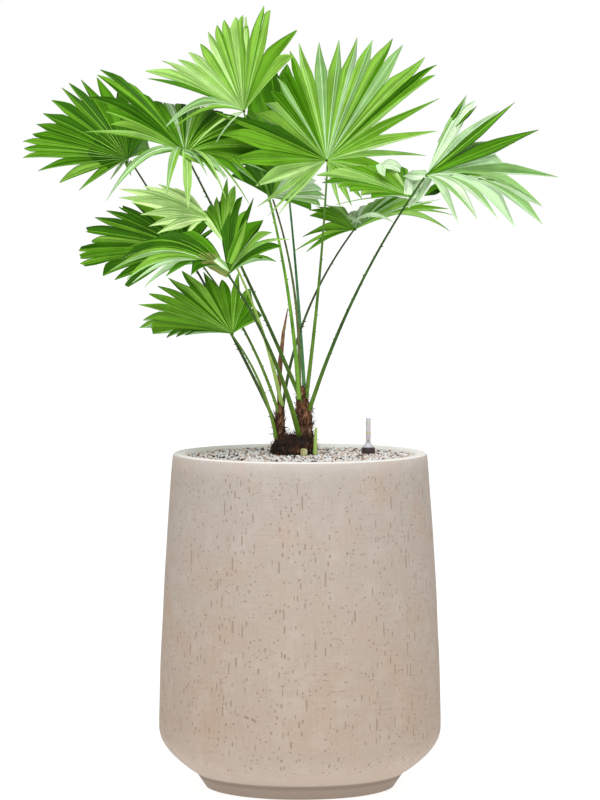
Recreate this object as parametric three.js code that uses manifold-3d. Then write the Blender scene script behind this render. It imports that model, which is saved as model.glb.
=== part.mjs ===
// A footstool palm in a round concrete pot, with a gravel top and a water gauge.
// Millimetres, +Z up. The origin is the centre of the pot's underside, and the viewer stands at -Y.
import * as THREE from 'three';
import { mergeVertices } from 'three/addons/utils/BufferGeometryUtils.js';
import Module from 'manifold-3d';

const wasm = await Module();
wasm.setup();

// driving dimensions of the pot
const potHeight = 604;
const footRadius = 172;
const footHeight = 22;
const bellyRadius = 255.7;
const bellyHeight = 109;
const rimRadius = 229.5;
const rimWall = 25;
const lipHeight = 12;
const soilHeight = 570;
const gravelTop = 600;
const potSides = 44;

// clearance between neighbouring solids
const gap = 0.3;

// driving dimensions of the fronds
const leafletAngle = 15;
const bladeThickness = 4.5;
const pleat = 0.2;
const endAngle = 9;
const knobRadius = 4;
const splitShare = 0.56;
const freeShare = 0.7;
const petioleSides = 6;
const petioleSteps = 9;
const petioleTip = 1.7;

// where the two stems leave the gravel
const leftFoot = [-34, 30];
const rightFoot = [5, 28];

const group = new THREE.Group();
group.name = 'potted_footstool_palm';

const finishes = {
  concrete: { color: 0xc9bfb4, roughness: 0.9 },
  gravel: { color: 0xa9a29b, roughness: 0.95 },
  fibre: { color: 0x2c1f19, roughness: 1 },
  bark: { color: 0x5a3a26, roughness: 0.9 },
  stalk: { color: 0x5b7a2c, roughness: 0.6 },
  darkStalk: { color: 0x2f3d22, roughness: 0.6 },
  youngLeaf: { color: 0x7a4a30, roughness: 0.7 },
  cutWood: { color: 0xb9b078, roughness: 0.8 },
  leaf: { color: 0x5f9a2a, roughness: 0.5 },
  clearPlastic: { color: 0xe2e4e0, roughness: 0.3 },
  darkPlastic: { color: 0x2c2220, roughness: 0.6 },
  redPlastic: { color: 0xc03028, roughness: 0.4 }
};

function add(name, geometry, finish) {
  const material = new THREE.MeshStandardMaterial({ metalness: 0, ...finishes[finish] });
  const mesh = new THREE.Mesh(geometry, material);
  mesh.name = name;
  group.add(mesh);
  return mesh;
}

// a closed three.js geometry as a solid that can be cut, and back
function toSolid(geometry) {
  const bare = geometry.clone();
  bare.deleteAttribute('normal');
  bare.deleteAttribute('uv');
  const merged = mergeVertices(bare, 1e-4);
  return new wasm.Manifold(new wasm.Mesh({
    numProp: 3,
    vertProperties: new Float32Array(merged.attributes.position.array),
    triVerts: new Uint32Array(merged.index.array)
  }));
}

function toGeometry(solid) {
  const mesh = solid.getMesh();
  const geometry = new THREE.BufferGeometry();
  const places = new Float32Array(mesh.numVert * 3);
  for (let i = 0; i < mesh.numVert; i += 1) {
    for (let j = 0; j < 3; j += 1) {
      places[i * 3 + j] = mesh.vertProperties[i * mesh.numProp + j];
    }
  }
  geometry.setAttribute('position', new THREE.BufferAttribute(places, 3));
  geometry.setIndex(Array.from(mesh.triVerts));
  return geometry;
}

function largestPiece(solid) {
  const pieces = solid.decompose();
  return pieces.reduce((best, piece) => (piece.volume() > best.volume() ? piece : best));
}

// a turned shape round +Z from [radius, height] pairs that run up the outside
function turned(profile, sides) {
  const outline = profile.map(([radius, height]) => new THREE.Vector2(radius, height));
  return new THREE.LatheGeometry(outline, sides).rotateX(Math.PI / 2);
}

// the pot: a foot ring, a low belly and a wall that leans in to a soft rim
function wallRadius(height) {
  const rise = (height - bellyHeight) / (potHeight - bellyHeight);
  return bellyRadius - (bellyRadius - rimRadius) * (0.44 * rise + 0.56 * rise * rise);
}

function potProfile() {
  const profile = [[0, 0], [footRadius - 4, 0], [footRadius, 3], [footRadius + 13, footHeight]];
  profile.push([footRadius + 15, footHeight + 4]);
  profile.push([211, 42], [235, 64], [250, 86], [bellyRadius, bellyHeight]);
  for (let height = 180; height < 580; height += 66) {
    profile.push([wallRadius(height), height]);
  }
  const lipBase = potHeight - lipHeight;
  const lipMiddle = rimRadius - rimWall / 2;
  for (let turn = 0; turn <= 5; turn += 1) {
    const angle = (Math.PI * turn) / 5;
    const radius = lipMiddle + (rimWall / 2) * Math.cos(angle);
    profile.push([radius, lipBase + lipHeight * Math.sin(angle)]);
  }
  profile.push([rimRadius - rimWall, soilHeight], [0, soilHeight]);
  return profile;
}

add('pot', turned(potProfile(), potSides), 'concrete');

// the gravel: level under the plant and the gauge, with low mounds and dips elsewhere
const bedRadius = rimRadius - rimWall - gap;
const crownPlace = [-12, 29];
const gaugePlace = [124, 45];
const moundDepth = 2.4;

function gravelDip(x, y) {
  const nearness = [
    (Math.hypot(x - crownPlace[0], y - crownPlace[1]) - 46) / 26,
    (Math.hypot(x - gaugePlace[0], y - gaugePlace[1]) - 16) / 16,
    (bedRadius - 6 - Math.hypot(x, y)) / 10
  ];
  const ease = Math.max(0, Math.min(1, ...nearness));
  return moundDepth * ease * (0.5 + 0.5 * Math.sin(x / 12 + 1.6 * Math.sin(y / 15)));
}

function gravelGeometry() {
  const bed = [[0, soilHeight + gap], [bedRadius, soilHeight + gap], [bedRadius, gravelTop - 3]];
  for (let radius = bedRadius - 6; radius > 40; radius -= 24) {
    bed.push([radius, gravelTop]);
  }
  const geometry = turned([...bed, [0, gravelTop]], potSides);
  const places = geometry.attributes.position;
  for (let i = 0; i < places.count; i += 1) {
    if (places.getZ(i) > gravelTop - 1) {
      places.setZ(i, gravelTop - gravelDip(places.getX(i), places.getY(i)));
    }
  }
  return geometry;
}

add('gravel', gravelGeometry(), 'gravel');

// a tapering limb along a curve: rings of the given radii, closed by flat ends;
// grown makes it thicker and longer all round, and a foot level lays its first ring flat there
function limbGeometry(curve, radiusAt, sides, steps, grown = 0, footLevel = null) {
  const places = [];
  const faces = [];
  const side = new THREE.Vector3(0, 1, 0);
  const ring = (i) => 2 + i * sides;
  const ends = [curve.getPoint(0), curve.getPoint(1)];
  ends[0].addScaledVector(curve.getTangent(0), -grown);
  ends[1].addScaledVector(curve.getTangent(1), grown);
  ends.forEach((end) => places.push(end.x, end.y, end.z));
  for (let i = 0; i <= steps; i += 1) {
    const share = i / steps;
    const middle = curve.getPoint(share);
    const ahead = curve.getTangent(share);
    if (i === 0) middle.copy(ends[0]);
    if (i === steps) middle.copy(ends[1]);
    const across = new THREE.Vector3().crossVectors(side, ahead).normalize();
    const over = new THREE.Vector3().crossVectors(ahead, across).normalize();
    for (let j = 0; j < sides; j += 1) {
      const angle = (2 * Math.PI * j) / sides;
      const radius = radiusAt(share, angle) + grown;
      const corner = middle.clone();
      corner.addScaledVector(across, radius * Math.cos(angle));
      corner.addScaledVector(over, radius * Math.sin(angle));
      if (i === 0 && footLevel !== null) corner.z = footLevel;
      places.push(corner.x, corner.y, corner.z);
    }
  }
  if (footLevel !== null) places[2] = footLevel;
  for (let i = 0; i < steps; i += 1) {
    for (let j = 0; j < sides; j += 1) {
      const next = (j + 1) % sides;
      faces.push(ring(i) + j, ring(i) + next, ring(i + 1) + next);
      faces.push(ring(i) + j, ring(i + 1) + next, ring(i + 1) + j);
    }
  }
  for (let j = 0; j < sides; j += 1) {
    const next = (j + 1) % sides;
    faces.push(0, ring(0) + next, ring(0) + j);
    faces.push(1, ring(steps) + j, ring(steps) + next);
  }
  const geometry = new THREE.BufferGeometry();
  geometry.setAttribute('position', new THREE.BufferAttribute(new Float32Array(places), 3));
  geometry.setIndex(faces);
  return geometry;
}

function stations(rows) {
  const curve = new THREE.CatmullRomCurve3(rows.map(([x, y, z]) => new THREE.Vector3(x, y, z)));
  const radii = rows.map((row) => row[3]);
  const radiusAt = (share) => {
    const place = share * (radii.length - 1);
    const low = Math.min(Math.floor(place), radii.length - 2);
    return radii[low] + (radii[low + 1] - radii[low]) * (place - low);
  };
  return { curve, radiusAt };
}

// the two stems, each from its flared foot on the gravel to its tip: x, y, z and radius
const foot = gravelTop + gap;
const stemRows = {
  left_stem: [
    [leftFoot[0], leftFoot[1], foot, 14],
    [leftFoot[0] - 1, leftFoot[1], 616, 9.5],
    [leftFoot[0] - 2, leftFoot[1], 650, 8],
    [leftFoot[0] - 3, leftFoot[1], 680, 6.5]
  ],
  right_stem: [
    [rightFoot[0], rightFoot[1], foot, 22],
    [rightFoot[0] + 3, rightFoot[1], 618, 15],
    [rightFoot[0] + 5, rightFoot[1], 650, 12.5],
    [rightFoot[0] + 1, rightFoot[1], 680, 14],
    [rightFoot[0] - 3, rightFoot[1], 708, 9],
    [rightFoot[0] - 3, rightFoot[1], 722, 6]
  ]
};

const wood = [];
for (const [name, rows] of Object.entries(stemRows)) {
  const { curve, radiusAt } = stations(rows);
  const steps = (rows.length - 1) * 3;
  wood.push(toSolid(limbGeometry(curve, radiusAt, 12, steps, 2 * gap, foot)));
  add(name, limbGeometry(curve, radiusAt, 12, steps, 0, foot), 'bark');
}

// limbs are cut clear of the wood that they grow from
function clearOf(geometry, others) {
  let solid = toSolid(geometry);
  for (const other of others) {
    solid = solid.subtract(other);
  }
  return largestPiece(solid);
}

// the matted root crown that both stems stand in, flat on the gravel
function crownGeometry(grown = 0) {
  const profile = [[0, 0], [1, 0], [0.98, 0.3], [0.86, 0.62], [0.6, 0.88], [0.28, 1], [0, 1]];
  const geometry = turned(profile, 16);
  geometry.scale(39 + grown, 31 + grown, 27 + grown);
  geometry.translate(...crownPlace, foot);
  return geometry;
}
add('root_crown', toGeometry(clearOf(crownGeometry(), wood)), 'fibre');
const rooted = [...wood, toSolid(crownGeometry(gap))];

// petioles: base on the wood, a point halfway and the hub of its frond, with the radius at the base
const stalks = {
  big: { base: [11, 26, 700], middle: [35, 36, 918], radius: 4 },
  top: { base: [-2, 16, 700], middle: [-34, -3, 966], radius: 4.2 },
  farleft: { base: [-42, 38, 650], middle: [-169, 112, 894], radius: 3.4, dark: true },
  upperleft: { base: [3, 20, 696], middle: [-99, -18, 927], radius: 4 },
  light: { base: [-33, 30, 686], middle: [-74, -29, 844], radius: 3.4 },
  mid: { base: [0, 22, 628], middle: [-52, -83, 791], radius: 6, tip: 3.3,
    end: [-127, -215, 936] },
  left: { base: [-39, 26, 676], middle: [-105, 32, 831], radius: 3.2 },
  low: { base: [-43, 24, 628], middle: [-73, -2, 731], radius: 3.6 },
  rightmid: { base: [-32, 38, 676], middle: [11, 77, 849], radius: 3.2, dark: true },
  right: { base: [17, 20, 680], middle: [105, -30, 902], radius: 4.4 },
  centre: { base: [-2, 32, 708], middle: [-10, 92, 889], radius: 3.6 },
  back: { base: [8, 36, 712], middle: [-8, 195, 932], radius: 3.6 }
};

// fronds: the hub, then fans of leading leaflet tips from the hub, right, away and up, in
// order round the upper face; arch lifts the middle of each leaflet above its chord, and
// a tip's fourth number is its own arch
const fronds = {
  big: {
    hub: [48, 50, 1130], stalk: 'big', arch: 0.02,
    fans: [
      [[27, -60, -90], [45, -70, -81], [119, -60, -20], [178, -45, 9], [199, -35, 53],
        [203, -20, 112], [196, -8, 154], [200, 0, 173], [178, 5, 187], [138, 15, 209],
        [120, 20, 221], [84, 30, 218], [56, 40, 224], [23, 45, 219], [-13, 50, 215],
        [-50, 50, 214], [-67, 50, 200], [-81, 40, 161], [-90, 30, 150], [-111, 10, 104],
        [-133, -20, 84], [-200, -70, 87], [-190, -100, 46], [-187, -110, 0], [-127, -100, -45],
        [-125, -90, -82], [-107, -85, -100], [-87, -80, -97]]
    ]
  },
  top: {
    hub: [-100, -30, 1218], stalk: 'top', arch: 0.03,
    fans: [
      [[88, -60, 97], [95, -40, 143], [47, -10, 180], [36, -5, 188], [7, 5, 152], [-2, 20, 172],
        [-15, 25, 169], [-36, 35, 164], [-49, 40, 155], [-65, 50, 143], [-79, 55, 122],
        [-101, 60, 107], [-119, 50, 93], [-148, 40, 91], [-177, 10, 72], [-171, -15, 58],
        [-138, -45, -28, 0.17], [-125, -60, -32, 0.13]],
      [[-94, -80, -69, 0.08]],
      [[-48, -90, -55, 0.05]]
    ]
  },
  farleft: {
    hub: [-315, 120, 1133], stalk: 'farleft', arch: 0.025,
    fans: [
      [[37, 100, 16], [17, 130, 81], [-23, 120, 131], [-61, 105, 150], [-90, 95, 146],
        [-111, 75, 139], [-124, 60, 131], [-141, 40, 107], [-156, 20, 83], [-167, 10, 63],
        [-174, 5, 46], [-192, 0, 32], [-189, -5, 19], [-191, -10, 2], [-162, -25, -22],
        [-121, -45, -43], [-86, -60, -57]],
      [[-28, -80, -37], [10, -85, -31]]
    ]
  },
  upperleft: {
    hub: [-205, -70, 1145], stalk: 'upperleft', arch: 0.06,
    fans: [
      [[75, -105, -82, 0.2], [115, -95, -89, 0.16], [138, -70, -63, 0.1], [156, -45, -28, 0.05],
        [138, -15, 8], [119, 20, 43], [83, 60, 63], [47, 90, 80], [15, 110, 84], [-12, 115, 87],
        [-39, 110, 89], [-67, 90, 89], [-153, 60, 148], [-158, 50, 138], [-170, 30, 97],
        [-141, 15, 72], [-131, 5, 49], [-178, -10, 36]],
      [[-94, -40, -15]],
      [[-137, -60, -86, 0.17]],
      [[-30, -90, -79, 0.22]],
      [[9, -105, -99, 0.25]]
    ]
  },
  light: {
    hub: [-136, -110, 988], stalk: 'light', arch: 0.13,
    fans: [
      [[34, 50, 78, 0.03], [20, 60, 97, 0.03], [6, 65, 111, 0.03], [-12, 60, 78, 0.05],
        [-33, 55, 63, 0.08], [-87, 45, 94], [-143, 35, 97], [-185, 15, 92], [-184, 0, 77],
        [-164, -10, 69], [-146, -20, 47], [-116, -40, 14]],
      [[-66, -60, 5, 0.08]]
    ]
  },
  mid_left: {
    hub: [-126, -216, 931], stalk: 'mid', arch: 0.19,
    fans: [
      [[-56, 40, 61], [-102, 35, 68], [-140, 20, 56], [-178, 5, 46], [-186, -5, 27],
        [-205, -15, 8], [-175, -25, -7], [-165, -35, -12], [-144, -45, -20], [-106, -55, 0],
        [-57, -60, 1]]
    ]
  },
  mid_right: {
    hub: [-126, -215, 931], stalk: 'mid', arch: 0.05,
    fans: [
      [[60, -70, 30], [85, -65, 25, 0.1], [93, -60, 51, 0.08], [109, -50, 63, 0.16],
        [78, -30, 75, 0.1], [62, -10, 96], [45, 5, 135], [30, 20, 94], [23, 30, 126],
        [3, 45, 110], [-7, 50, 67]]
    ]
  },
  left: {
    hub: [-203, 40, 969], stalk: 'left', arch: 0.02,
    fans: [
      [[35, 45, 17], [44, 60, 35], [39, 70, 51], [-3, 70, 58], [-52, 65, 80], [-101, 50, 84],
        [-123, 45, 77], [-149, 35, 70], [-169, 25, 58], [-188, 10, 35], [-174, 5, 16],
        [-198, -5, 1], [-195, -15, -13], [-194, -25, -28], [-130, -45, -53], [-107, -60, -66]]
    ]
  },
  low: {
    hub: [-121, -40, 821], stalk: 'low', arch: 0.02,
    fans: [
      [[52, 60, 29], [30, 80, 77], [10, 90, 108], [-20, 95, 93], [-54, 100, 107], [-93, 95, 109],
        [-118, 90, 97], [-137, 80, 82], [-152, 65, 69], [-170, 45, 50], [-160, 10, 23],
        [-166, -20, 11], [-140, -60, 2], [-82, -110, 2]]
    ]
  },
  rightmid: {
    hub: [101, 130, 1004], stalk: 'rightmid', arch: 0.05,
    fans: [
      [[67, -95, 13, 0.1], [171, -85, -2, 0.16], [181, -60, 26, 0.1], [155, -20, 55],
        [128, 10, 48, 0.08], [102, 40, 55], [77, 70, 59], [57, 95, 57], [26, 115, 42],
        [-14, 110, 23], [-55, 70, 44], [-71, 50, 41], [-84, 35, 35], [-83, 15, 25],
        [-96, -25, -13], [-111, -55, -38], [-90, -65, -40]]
    ]
  },
  right_outer: {
    hub: [224, -100, 1104], stalk: 'right', arch: 0.03,
    fans: [
      [[-35, -50, -58, 0.03]],
      [[54, -85, -85, 0.12], [86, -88, -75, 0.13], [122, -85, -75, 0.14], [153, -75, -90, 0.15],
        [203, -60, -86, 0.14], [202, -45, -54, 0.1], [233, -15, -3, 0.03], [166, 5, 28],
        [158, 20, 58], [202, 32, 81], [159, 45, 131], [131, 52, 115], [92, 62, 124],
        [89, 66, 133], [74, 72, 143]]
    ]
  },
  right_inner: {
    hub: [195, -87, 1067], stalk: 'right', arch: 0.04,
    fans: [
      [[23, 30, 40], [9, 36, 47], [-7, 40, 49], [-40, 25, 56], [-72, 20, 55], [-113, 10, 51],
        [-164, -10, 36], [-154, -25, 23], [-105, -35, 8], [-73, -50, -4], [-130, -60, -15]]
    ]
  },
  centre: {
    hub: [-52, 190, 1062], stalk: 'centre', arch: 0.03,
    fans: [
      [[-75, -40, 40], [-45, -80, 66], [-6, -105, 73], [34, -105, 64], [67, -80, 47],
        [92, -40, 14], [100, -10, -5], [72, 35, -24]]
    ]
  },
  back: {
    hub: [-31, 300, 1140], stalk: 'back', arch: 0.02,
    fans: [
      [[116, 40, -9], [140, 45, 51], [87, 35, 122], [37, 22, 150], [7, 15, 170], [-29, 10, 189],
        [-52, 28, 141], [-82, 50, 47], [-82, 50, -19]]
    ]
  }
};

// every leaflet of a fan, spread evenly between the leading ones
function fanLeaflets(rows, arch) {
  const leading = rows.map(([x, y, z, own]) => ({
    tip: new THREE.Vector3(x, y, z),
    arch: own ?? arch
  }));
  const out = [];
  leading.slice(0, -1).forEach((from, i) => {
    const to = leading[i + 1];
    const turn = from.tip.angleTo(to.tip);
    const count = Math.max(1, Math.round(THREE.MathUtils.radToDeg(turn) / leafletAngle));
    const axis = new THREE.Vector3().crossVectors(from.tip, to.tip).normalize();
    for (let j = 0; j < count; j += 1) {
      const share = j / count;
      const eased = share * share * (3 - 2 * share);
      const length = from.tip.length() + (to.tip.length() - from.tip.length()) * eased;
      out.push({
        tip: from.tip.clone().applyAxisAngle(axis, turn * share).setLength(length),
        arch: from.arch + (to.arch - from.arch) * share
      });
    }
  });
  out.push(leading[leading.length - 1]);
  return out;
}

function leafletPoint(hub, leaflet, share) {
  const point = hub.clone().addScaledVector(leaflet.tip, share);
  point.z += 4 * share * (1 - share) * leaflet.arch * leaflet.tip.length();
  return point;
}

// the leaflet that would follow past an end of a fan, which sets how wide that end is
function imagined(leaflet, neighbour, axis, sign) {
  const way = axis.clone();
  if (neighbour) {
    way.crossVectors(leaflet.tip, neighbour.tip).multiplyScalar(-sign);
  }
  const turn = sign * THREE.MathUtils.degToRad(endAngle);
  return { tip: leaflet.tip.clone().applyAxisAngle(way.normalize(), turn), arch: leaflet.arch };
}

// a pleated fan: leaflets are fused to the split, then free and tapering to a point;
// grown makes it thicker, as the space that other parts keep clear of
function fanGeometry(hub, rows, arch, axis, grown = 0) {
  const leaflets = fanLeaflets(rows, arch);
  const thickness = bladeThickness + 2 * grown;
  const centre = new THREE.Vector3(...hub);
  const shares = [0.3, splitShare, 0.8];
  const last = leaflets.length - 1;
  const row = [
    imagined(leaflets[0], leaflets[1], axis, -1),
    ...leaflets,
    imagined(leaflets[last], leaflets[last - 1], axis, 1)
  ];
  const lines = row.map((leaflet) => shares.map((s) => leafletPoint(centre, leaflet, s)));
  const normals = leaflets.map((leaflet, i) => shares.map((s, k) => {
    const ahead = leafletPoint(centre, leaflet, s + 0.02);
    ahead.sub(leafletPoint(centre, leaflet, s - 0.02));
    const across = lines[i + 2][k].clone().sub(lines[i][k]);
    return ahead.cross(across).normalize();
  }));
  const places = [];
  const faces = [];
  const put = (point, normal, share = 1) => {
    const top = point.clone().addScaledVector(normal, (share * thickness) / 2);
    const under = point.clone().addScaledVector(normal, (-share * thickness) / 2);
    places.push(top.x, top.y, top.z, under.x, under.y, under.z);
    return places.length / 3 - 2;
  };
  const skin = (a, b, c) => {
    faces.push(a, b, c);
    faces.push(a + 1, c + 1, b + 1);
  };
  const wall = (inner, outer, leftSide) => {
    if (leftSide) {
      faces.push(inner + 1, outer, outer + 1, inner + 1, inner, outer);
    } else {
      faces.push(inner + 1, outer + 1, outer, inner + 1, outer, inner);
    }
  };
  const middleNormal = new THREE.Vector3();
  normals.forEach((triple) => middleNormal.add(triple[0]));
  middleNormal.normalize();
  const hubIndex = put(centre, middleNormal);
  const rib = normals.map((triple, i) => triple.map((normal, k) => {
    const share = k === 2 ? freeShare : 1;
    return put(lines[i + 1][k], normal, share);
  }));
  // the fold between leaflet i - 1 and leaflet i, with one more at each end of the fan
  const folds = [];
  for (let i = 0; i <= last + 1; i += 1) {
    folds.push([0, 1].map((k) => {
      const width = lines[i][k].distanceTo(lines[i + 1][k]);
      const point = lines[i][k].clone().add(lines[i + 1][k]).multiplyScalar(0.5);
      const normal = normals[Math.max(i - 1, 0)][k].clone().add(normals[Math.min(i, last)][k]);
      normal.normalize();
      point.addScaledVector(normal, pleat * width);
      return put(point, normal);
    }));
  }
  leaflets.forEach((leaflet, i) => {
    const before = lines[i];
    const after = lines[i + 2];
    const width = before[1].distanceTo(after[1]) / 2;
    const across = after[2].clone().sub(before[2]).normalize();
    const half = 0.3 * width;
    const edge = (sign) => {
      const point = lines[i + 1][2].clone().addScaledVector(across, sign * half);
      point.addScaledVector(normals[i][2], pleat * half * 2);
      return put(point, normals[i][2], freeShare);
    };
    const right = edge(-1);
    const left = edge(1);
    const end = leafletPoint(centre, leaflet, 1);
    places.push(end.x, end.y, end.z);
    const point = places.length / 3 - 1;
    const [r0, r1, r2] = rib[i];
    const [a0, a1] = folds[i];
    const [b0, b1] = folds[i + 1];
    skin(hubIndex, a0, r0);
    skin(hubIndex, r0, b0);
    skin(a0, a1, r1);
    skin(a0, r1, r0);
    skin(r0, r1, b1);
    skin(r0, b1, b0);
    skin(a1, right, r2);
    skin(a1, r2, r1);
    skin(r1, r2, left);
    skin(r1, left, b1);
    faces.push(right, point, r2, r2, point, left);
    faces.push(right + 1, r2 + 1, point, r2 + 1, left + 1, point);
    wall(a1, right, false);
    wall(b1, left, true);
    faces.push(right + 1, point, right, left, point, left + 1);
    if (i === 0) {
      wall(hubIndex, a0, false);
      wall(a0, a1, false);
    }
    if (i === last) {
      wall(hubIndex, b0, true);
      wall(b0, b1, true);
    }
  });
  const geometry = new THREE.BufferGeometry();
  geometry.setAttribute('position', new THREE.BufferAttribute(new Float32Array(places), 3));
  geometry.setIndex(faces);
  return geometry;
}

// a frond: its fans, joined at a small knob on the hub
function frondSolid({ hub, fans, arch }, grown = 0) {
  const order = fans.flat().map(([x, y, z]) => new THREE.Vector3(x, y, z));
  const knob = new THREE.IcosahedronGeometry(knobRadius + grown, 0);
  let solid = toSolid(knob.translate(...hub));
  let index = 0;
  for (const rows of fans) {
    const axis = new THREE.Vector3();
    const here = order[index];
    if (index > 0) {
      axis.add(order[index - 1].clone().cross(here));
    }
    if (order[index + 1]) {
      axis.add(here.clone().cross(order[index + 1]));
    }
    solid = solid.add(toSolid(fanGeometry(hub, rows, arch, axis, grown)));
    index += rows.length;
  }
  return solid;
}

// a petiole runs from the wood to its hub, and is cut clear of the wood, of the
// petioles before it and of the fronds that it carries
const grown = [...rooted];
for (const [name, stalk] of Object.entries(stalks)) {
  const carried = Object.values(fronds).filter((frond) => frond.stalk === name);
  const start = new THREE.Vector3(...stalk.base);
  const end = new THREE.Vector3(...(stalk.end ?? carried[0].hub));
  const bend = new THREE.Vector3(...stalk.middle).multiplyScalar(2);
  bend.addScaledVector(start, -0.5).addScaledVector(end, -0.5);
  const curve = new THREE.QuadraticBezierCurve3(start, bend, end);
  const tip = stalk.tip ?? petioleTip;
  const radiusAt = (share) => tip + (stalk.radius - tip) * (1 - share) ** 1.6;
  const back = bend.clone().sub(end).setLength(2 * gap);
  const blades = carried.flatMap((frond) => [new THREE.Vector3(), back].map(
    (shift) => frondSolid(frond, gap).translate(shift.toArray())
  ));
  const geometry = limbGeometry(curve, radiusAt, petioleSides, petioleSteps);
  const solid = clearOf(geometry, [...grown, ...blades]);
  grown.push(toSolid(limbGeometry(curve, radiusAt, petioleSides, petioleSteps, gap)));
  stalk.space = grown[grown.length - 1];
  add(`petiole_${name}`, toGeometry(solid), stalk.dark ? 'darkStalk' : 'stalk');
}

// where a frond meets the stalk of another, or a frond before it, it is cut clear of it
const taken = [];
for (const [name, frond] of Object.entries(fronds)) {
  let solid = frondSolid(frond);
  const others = Object.entries(stalks).filter(([stalk]) => stalk !== frond.stalk);
  for (const other of [...others.map(([, stalk]) => stalk.space), ...taken]) {
    solid = solid.subtract(other);
  }
  add(`frond_${name}`, toGeometry(largestPiece(solid)), 'leaf');
  for (const shift of [gap, -gap]) {
    taken.push(frondSolid(frond, gap).translate([shift, shift, shift]));
  }
}

// the unopened leaf beside the left stem
const spear = stations([[-38, 28, 684, 3], [-38, 28, 720, 4], [-36, 28, 763, 4.5],
  [-30, 27, 820, 3], [-22, 25, 864, 0.8]]);
add('spear_leaf', toGeometry(clearOf(limbGeometry(spear.curve, spear.radiusAt, 6, 8), grown)),
  'youngLeaf');

// stubs of old leaves at the foot
const greenStub = stations([[27, 13, foot, 4.4], [28, 12, 628, 3.2], [29, 11, 648, 2.4]]);
const greenStubGeometry = limbGeometry(greenStub.curve, greenStub.radiusAt, 6, 4, 0, foot);
add('green_stub', toGeometry(clearOf(greenStubGeometry, grown)), 'stalk');
const cutStub = stations([[7, -10, foot, 6.5], [7, -11, foot + 6, 6.5], [7, -12, foot + 11, 5.5]]);
const cutStubGeometry = limbGeometry(cutStub.curve, cutStub.radiusAt, 8, 2, 0, foot);
add('cut_stub', toGeometry(clearOf(cutStubGeometry, grown)), 'cutWood');

// the water gauge: a dark collar on the gravel, a shoulder, a clear tube and its float
function gauge() {
  const holder = new THREE.Group();
  holder.position.set(...gaugePlace, foot);
  group.add(holder);
  const place = (name, profile, height, finish) => {
    const mesh = add(name, turned(profile, 16), finish);
    mesh.position.z = height;
    holder.add(mesh);
  };
  const collarHeight = 9.8;
  const shoulderHeight = 8.6;
  const tubeHeight = 44;
  const collar = [[0, 0], [12.6, 0], [13, 1.5], [12.2, collarHeight - 1], [11.4, collarHeight]];
  place('gauge_collar', [...collar, [0, collarHeight]], 0, 'darkPlastic');
  const shoulder = [[0, 0], [10.4, 0], [9.8, 2.4], [5.4, shoulderHeight], [0, shoulderHeight]];
  place('gauge_shoulder', shoulder, collarHeight + gap, 'clearPlastic');
  const tube = [[3.4, 0], [4.5, 0], [4.5, tubeHeight - 1], [3.8, tubeHeight], [0, tubeHeight]];
  tube.push([0, tubeHeight - 2], [3.4, tubeHeight - 2], [3.4, 0]);
  place('gauge_tube', tube, collarHeight + shoulderHeight + 2 * gap, 'clearPlastic');
  const float = [[0, 0], [1.8, 0.7], [2.5, 2.5], [1.8, 4.3], [0, 5]];
  place('gauge_float', float, collarHeight + shoulderHeight + 2 * gap, 'redPlastic');
}
gauge();

export default group;
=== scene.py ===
# A footstool palm in a concrete pot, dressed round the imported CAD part.
# Sizes are millimetres until a mesh is made. The viewer stands at -Y.
import math
import random

import bmesh
import bpy
from mathutils import Matrix, Vector, noise


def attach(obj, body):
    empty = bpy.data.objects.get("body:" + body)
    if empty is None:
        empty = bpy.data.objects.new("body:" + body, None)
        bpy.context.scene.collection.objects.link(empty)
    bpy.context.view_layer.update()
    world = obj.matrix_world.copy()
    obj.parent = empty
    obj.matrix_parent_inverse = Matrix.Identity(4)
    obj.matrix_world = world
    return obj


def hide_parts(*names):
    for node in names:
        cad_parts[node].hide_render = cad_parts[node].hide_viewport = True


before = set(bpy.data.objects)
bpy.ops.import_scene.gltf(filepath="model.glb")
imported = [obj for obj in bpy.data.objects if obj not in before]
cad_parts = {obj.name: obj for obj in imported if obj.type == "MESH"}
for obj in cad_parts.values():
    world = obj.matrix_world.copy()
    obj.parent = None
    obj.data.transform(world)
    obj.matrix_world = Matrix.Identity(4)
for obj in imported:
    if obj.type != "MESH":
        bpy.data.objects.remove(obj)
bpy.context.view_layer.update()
scene = bpy.context.scene
millimetre = 0.001
up = Vector((0, 0, 1))


def colour(text, share=1):
    # a hex colour as linear red, green, blue and alpha, darkened or lightened by a share
    parts = [int(text[i : i + 2], 16) / 255 for i in (0, 2, 4)]
    linear = [((c + 0.055) / 1.055) ** 2.4 if c > 0.04 else c / 12.92 for c in parts]
    return (*[c * share for c in linear], 1)


class Wire:
    # a socket whose operators add Math nodes
    def __init__(self, graph, socket):
        self.graph = graph
        self.socket = socket

    def output(self, name):
        # another output of the same node
        return Wire(self.graph, self.socket.node.outputs[name])

    def __add__(self, other):
        return self.graph.math("ADD", self, other)

    def __sub__(self, other):
        return self.graph.math("SUBTRACT", self, other)

    def __rsub__(self, other):
        return self.graph.math("SUBTRACT", other, self)

    def __mul__(self, other):
        return self.graph.math("MULTIPLY", self, other)

    def __gt__(self, other):
        return self.graph.math("GREATER_THAN", self, other)

    def __lt__(self, other):
        return self.graph.math("LESS_THAN", self, other)

    __radd__ = __add__
    __rmul__ = __mul__


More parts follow.
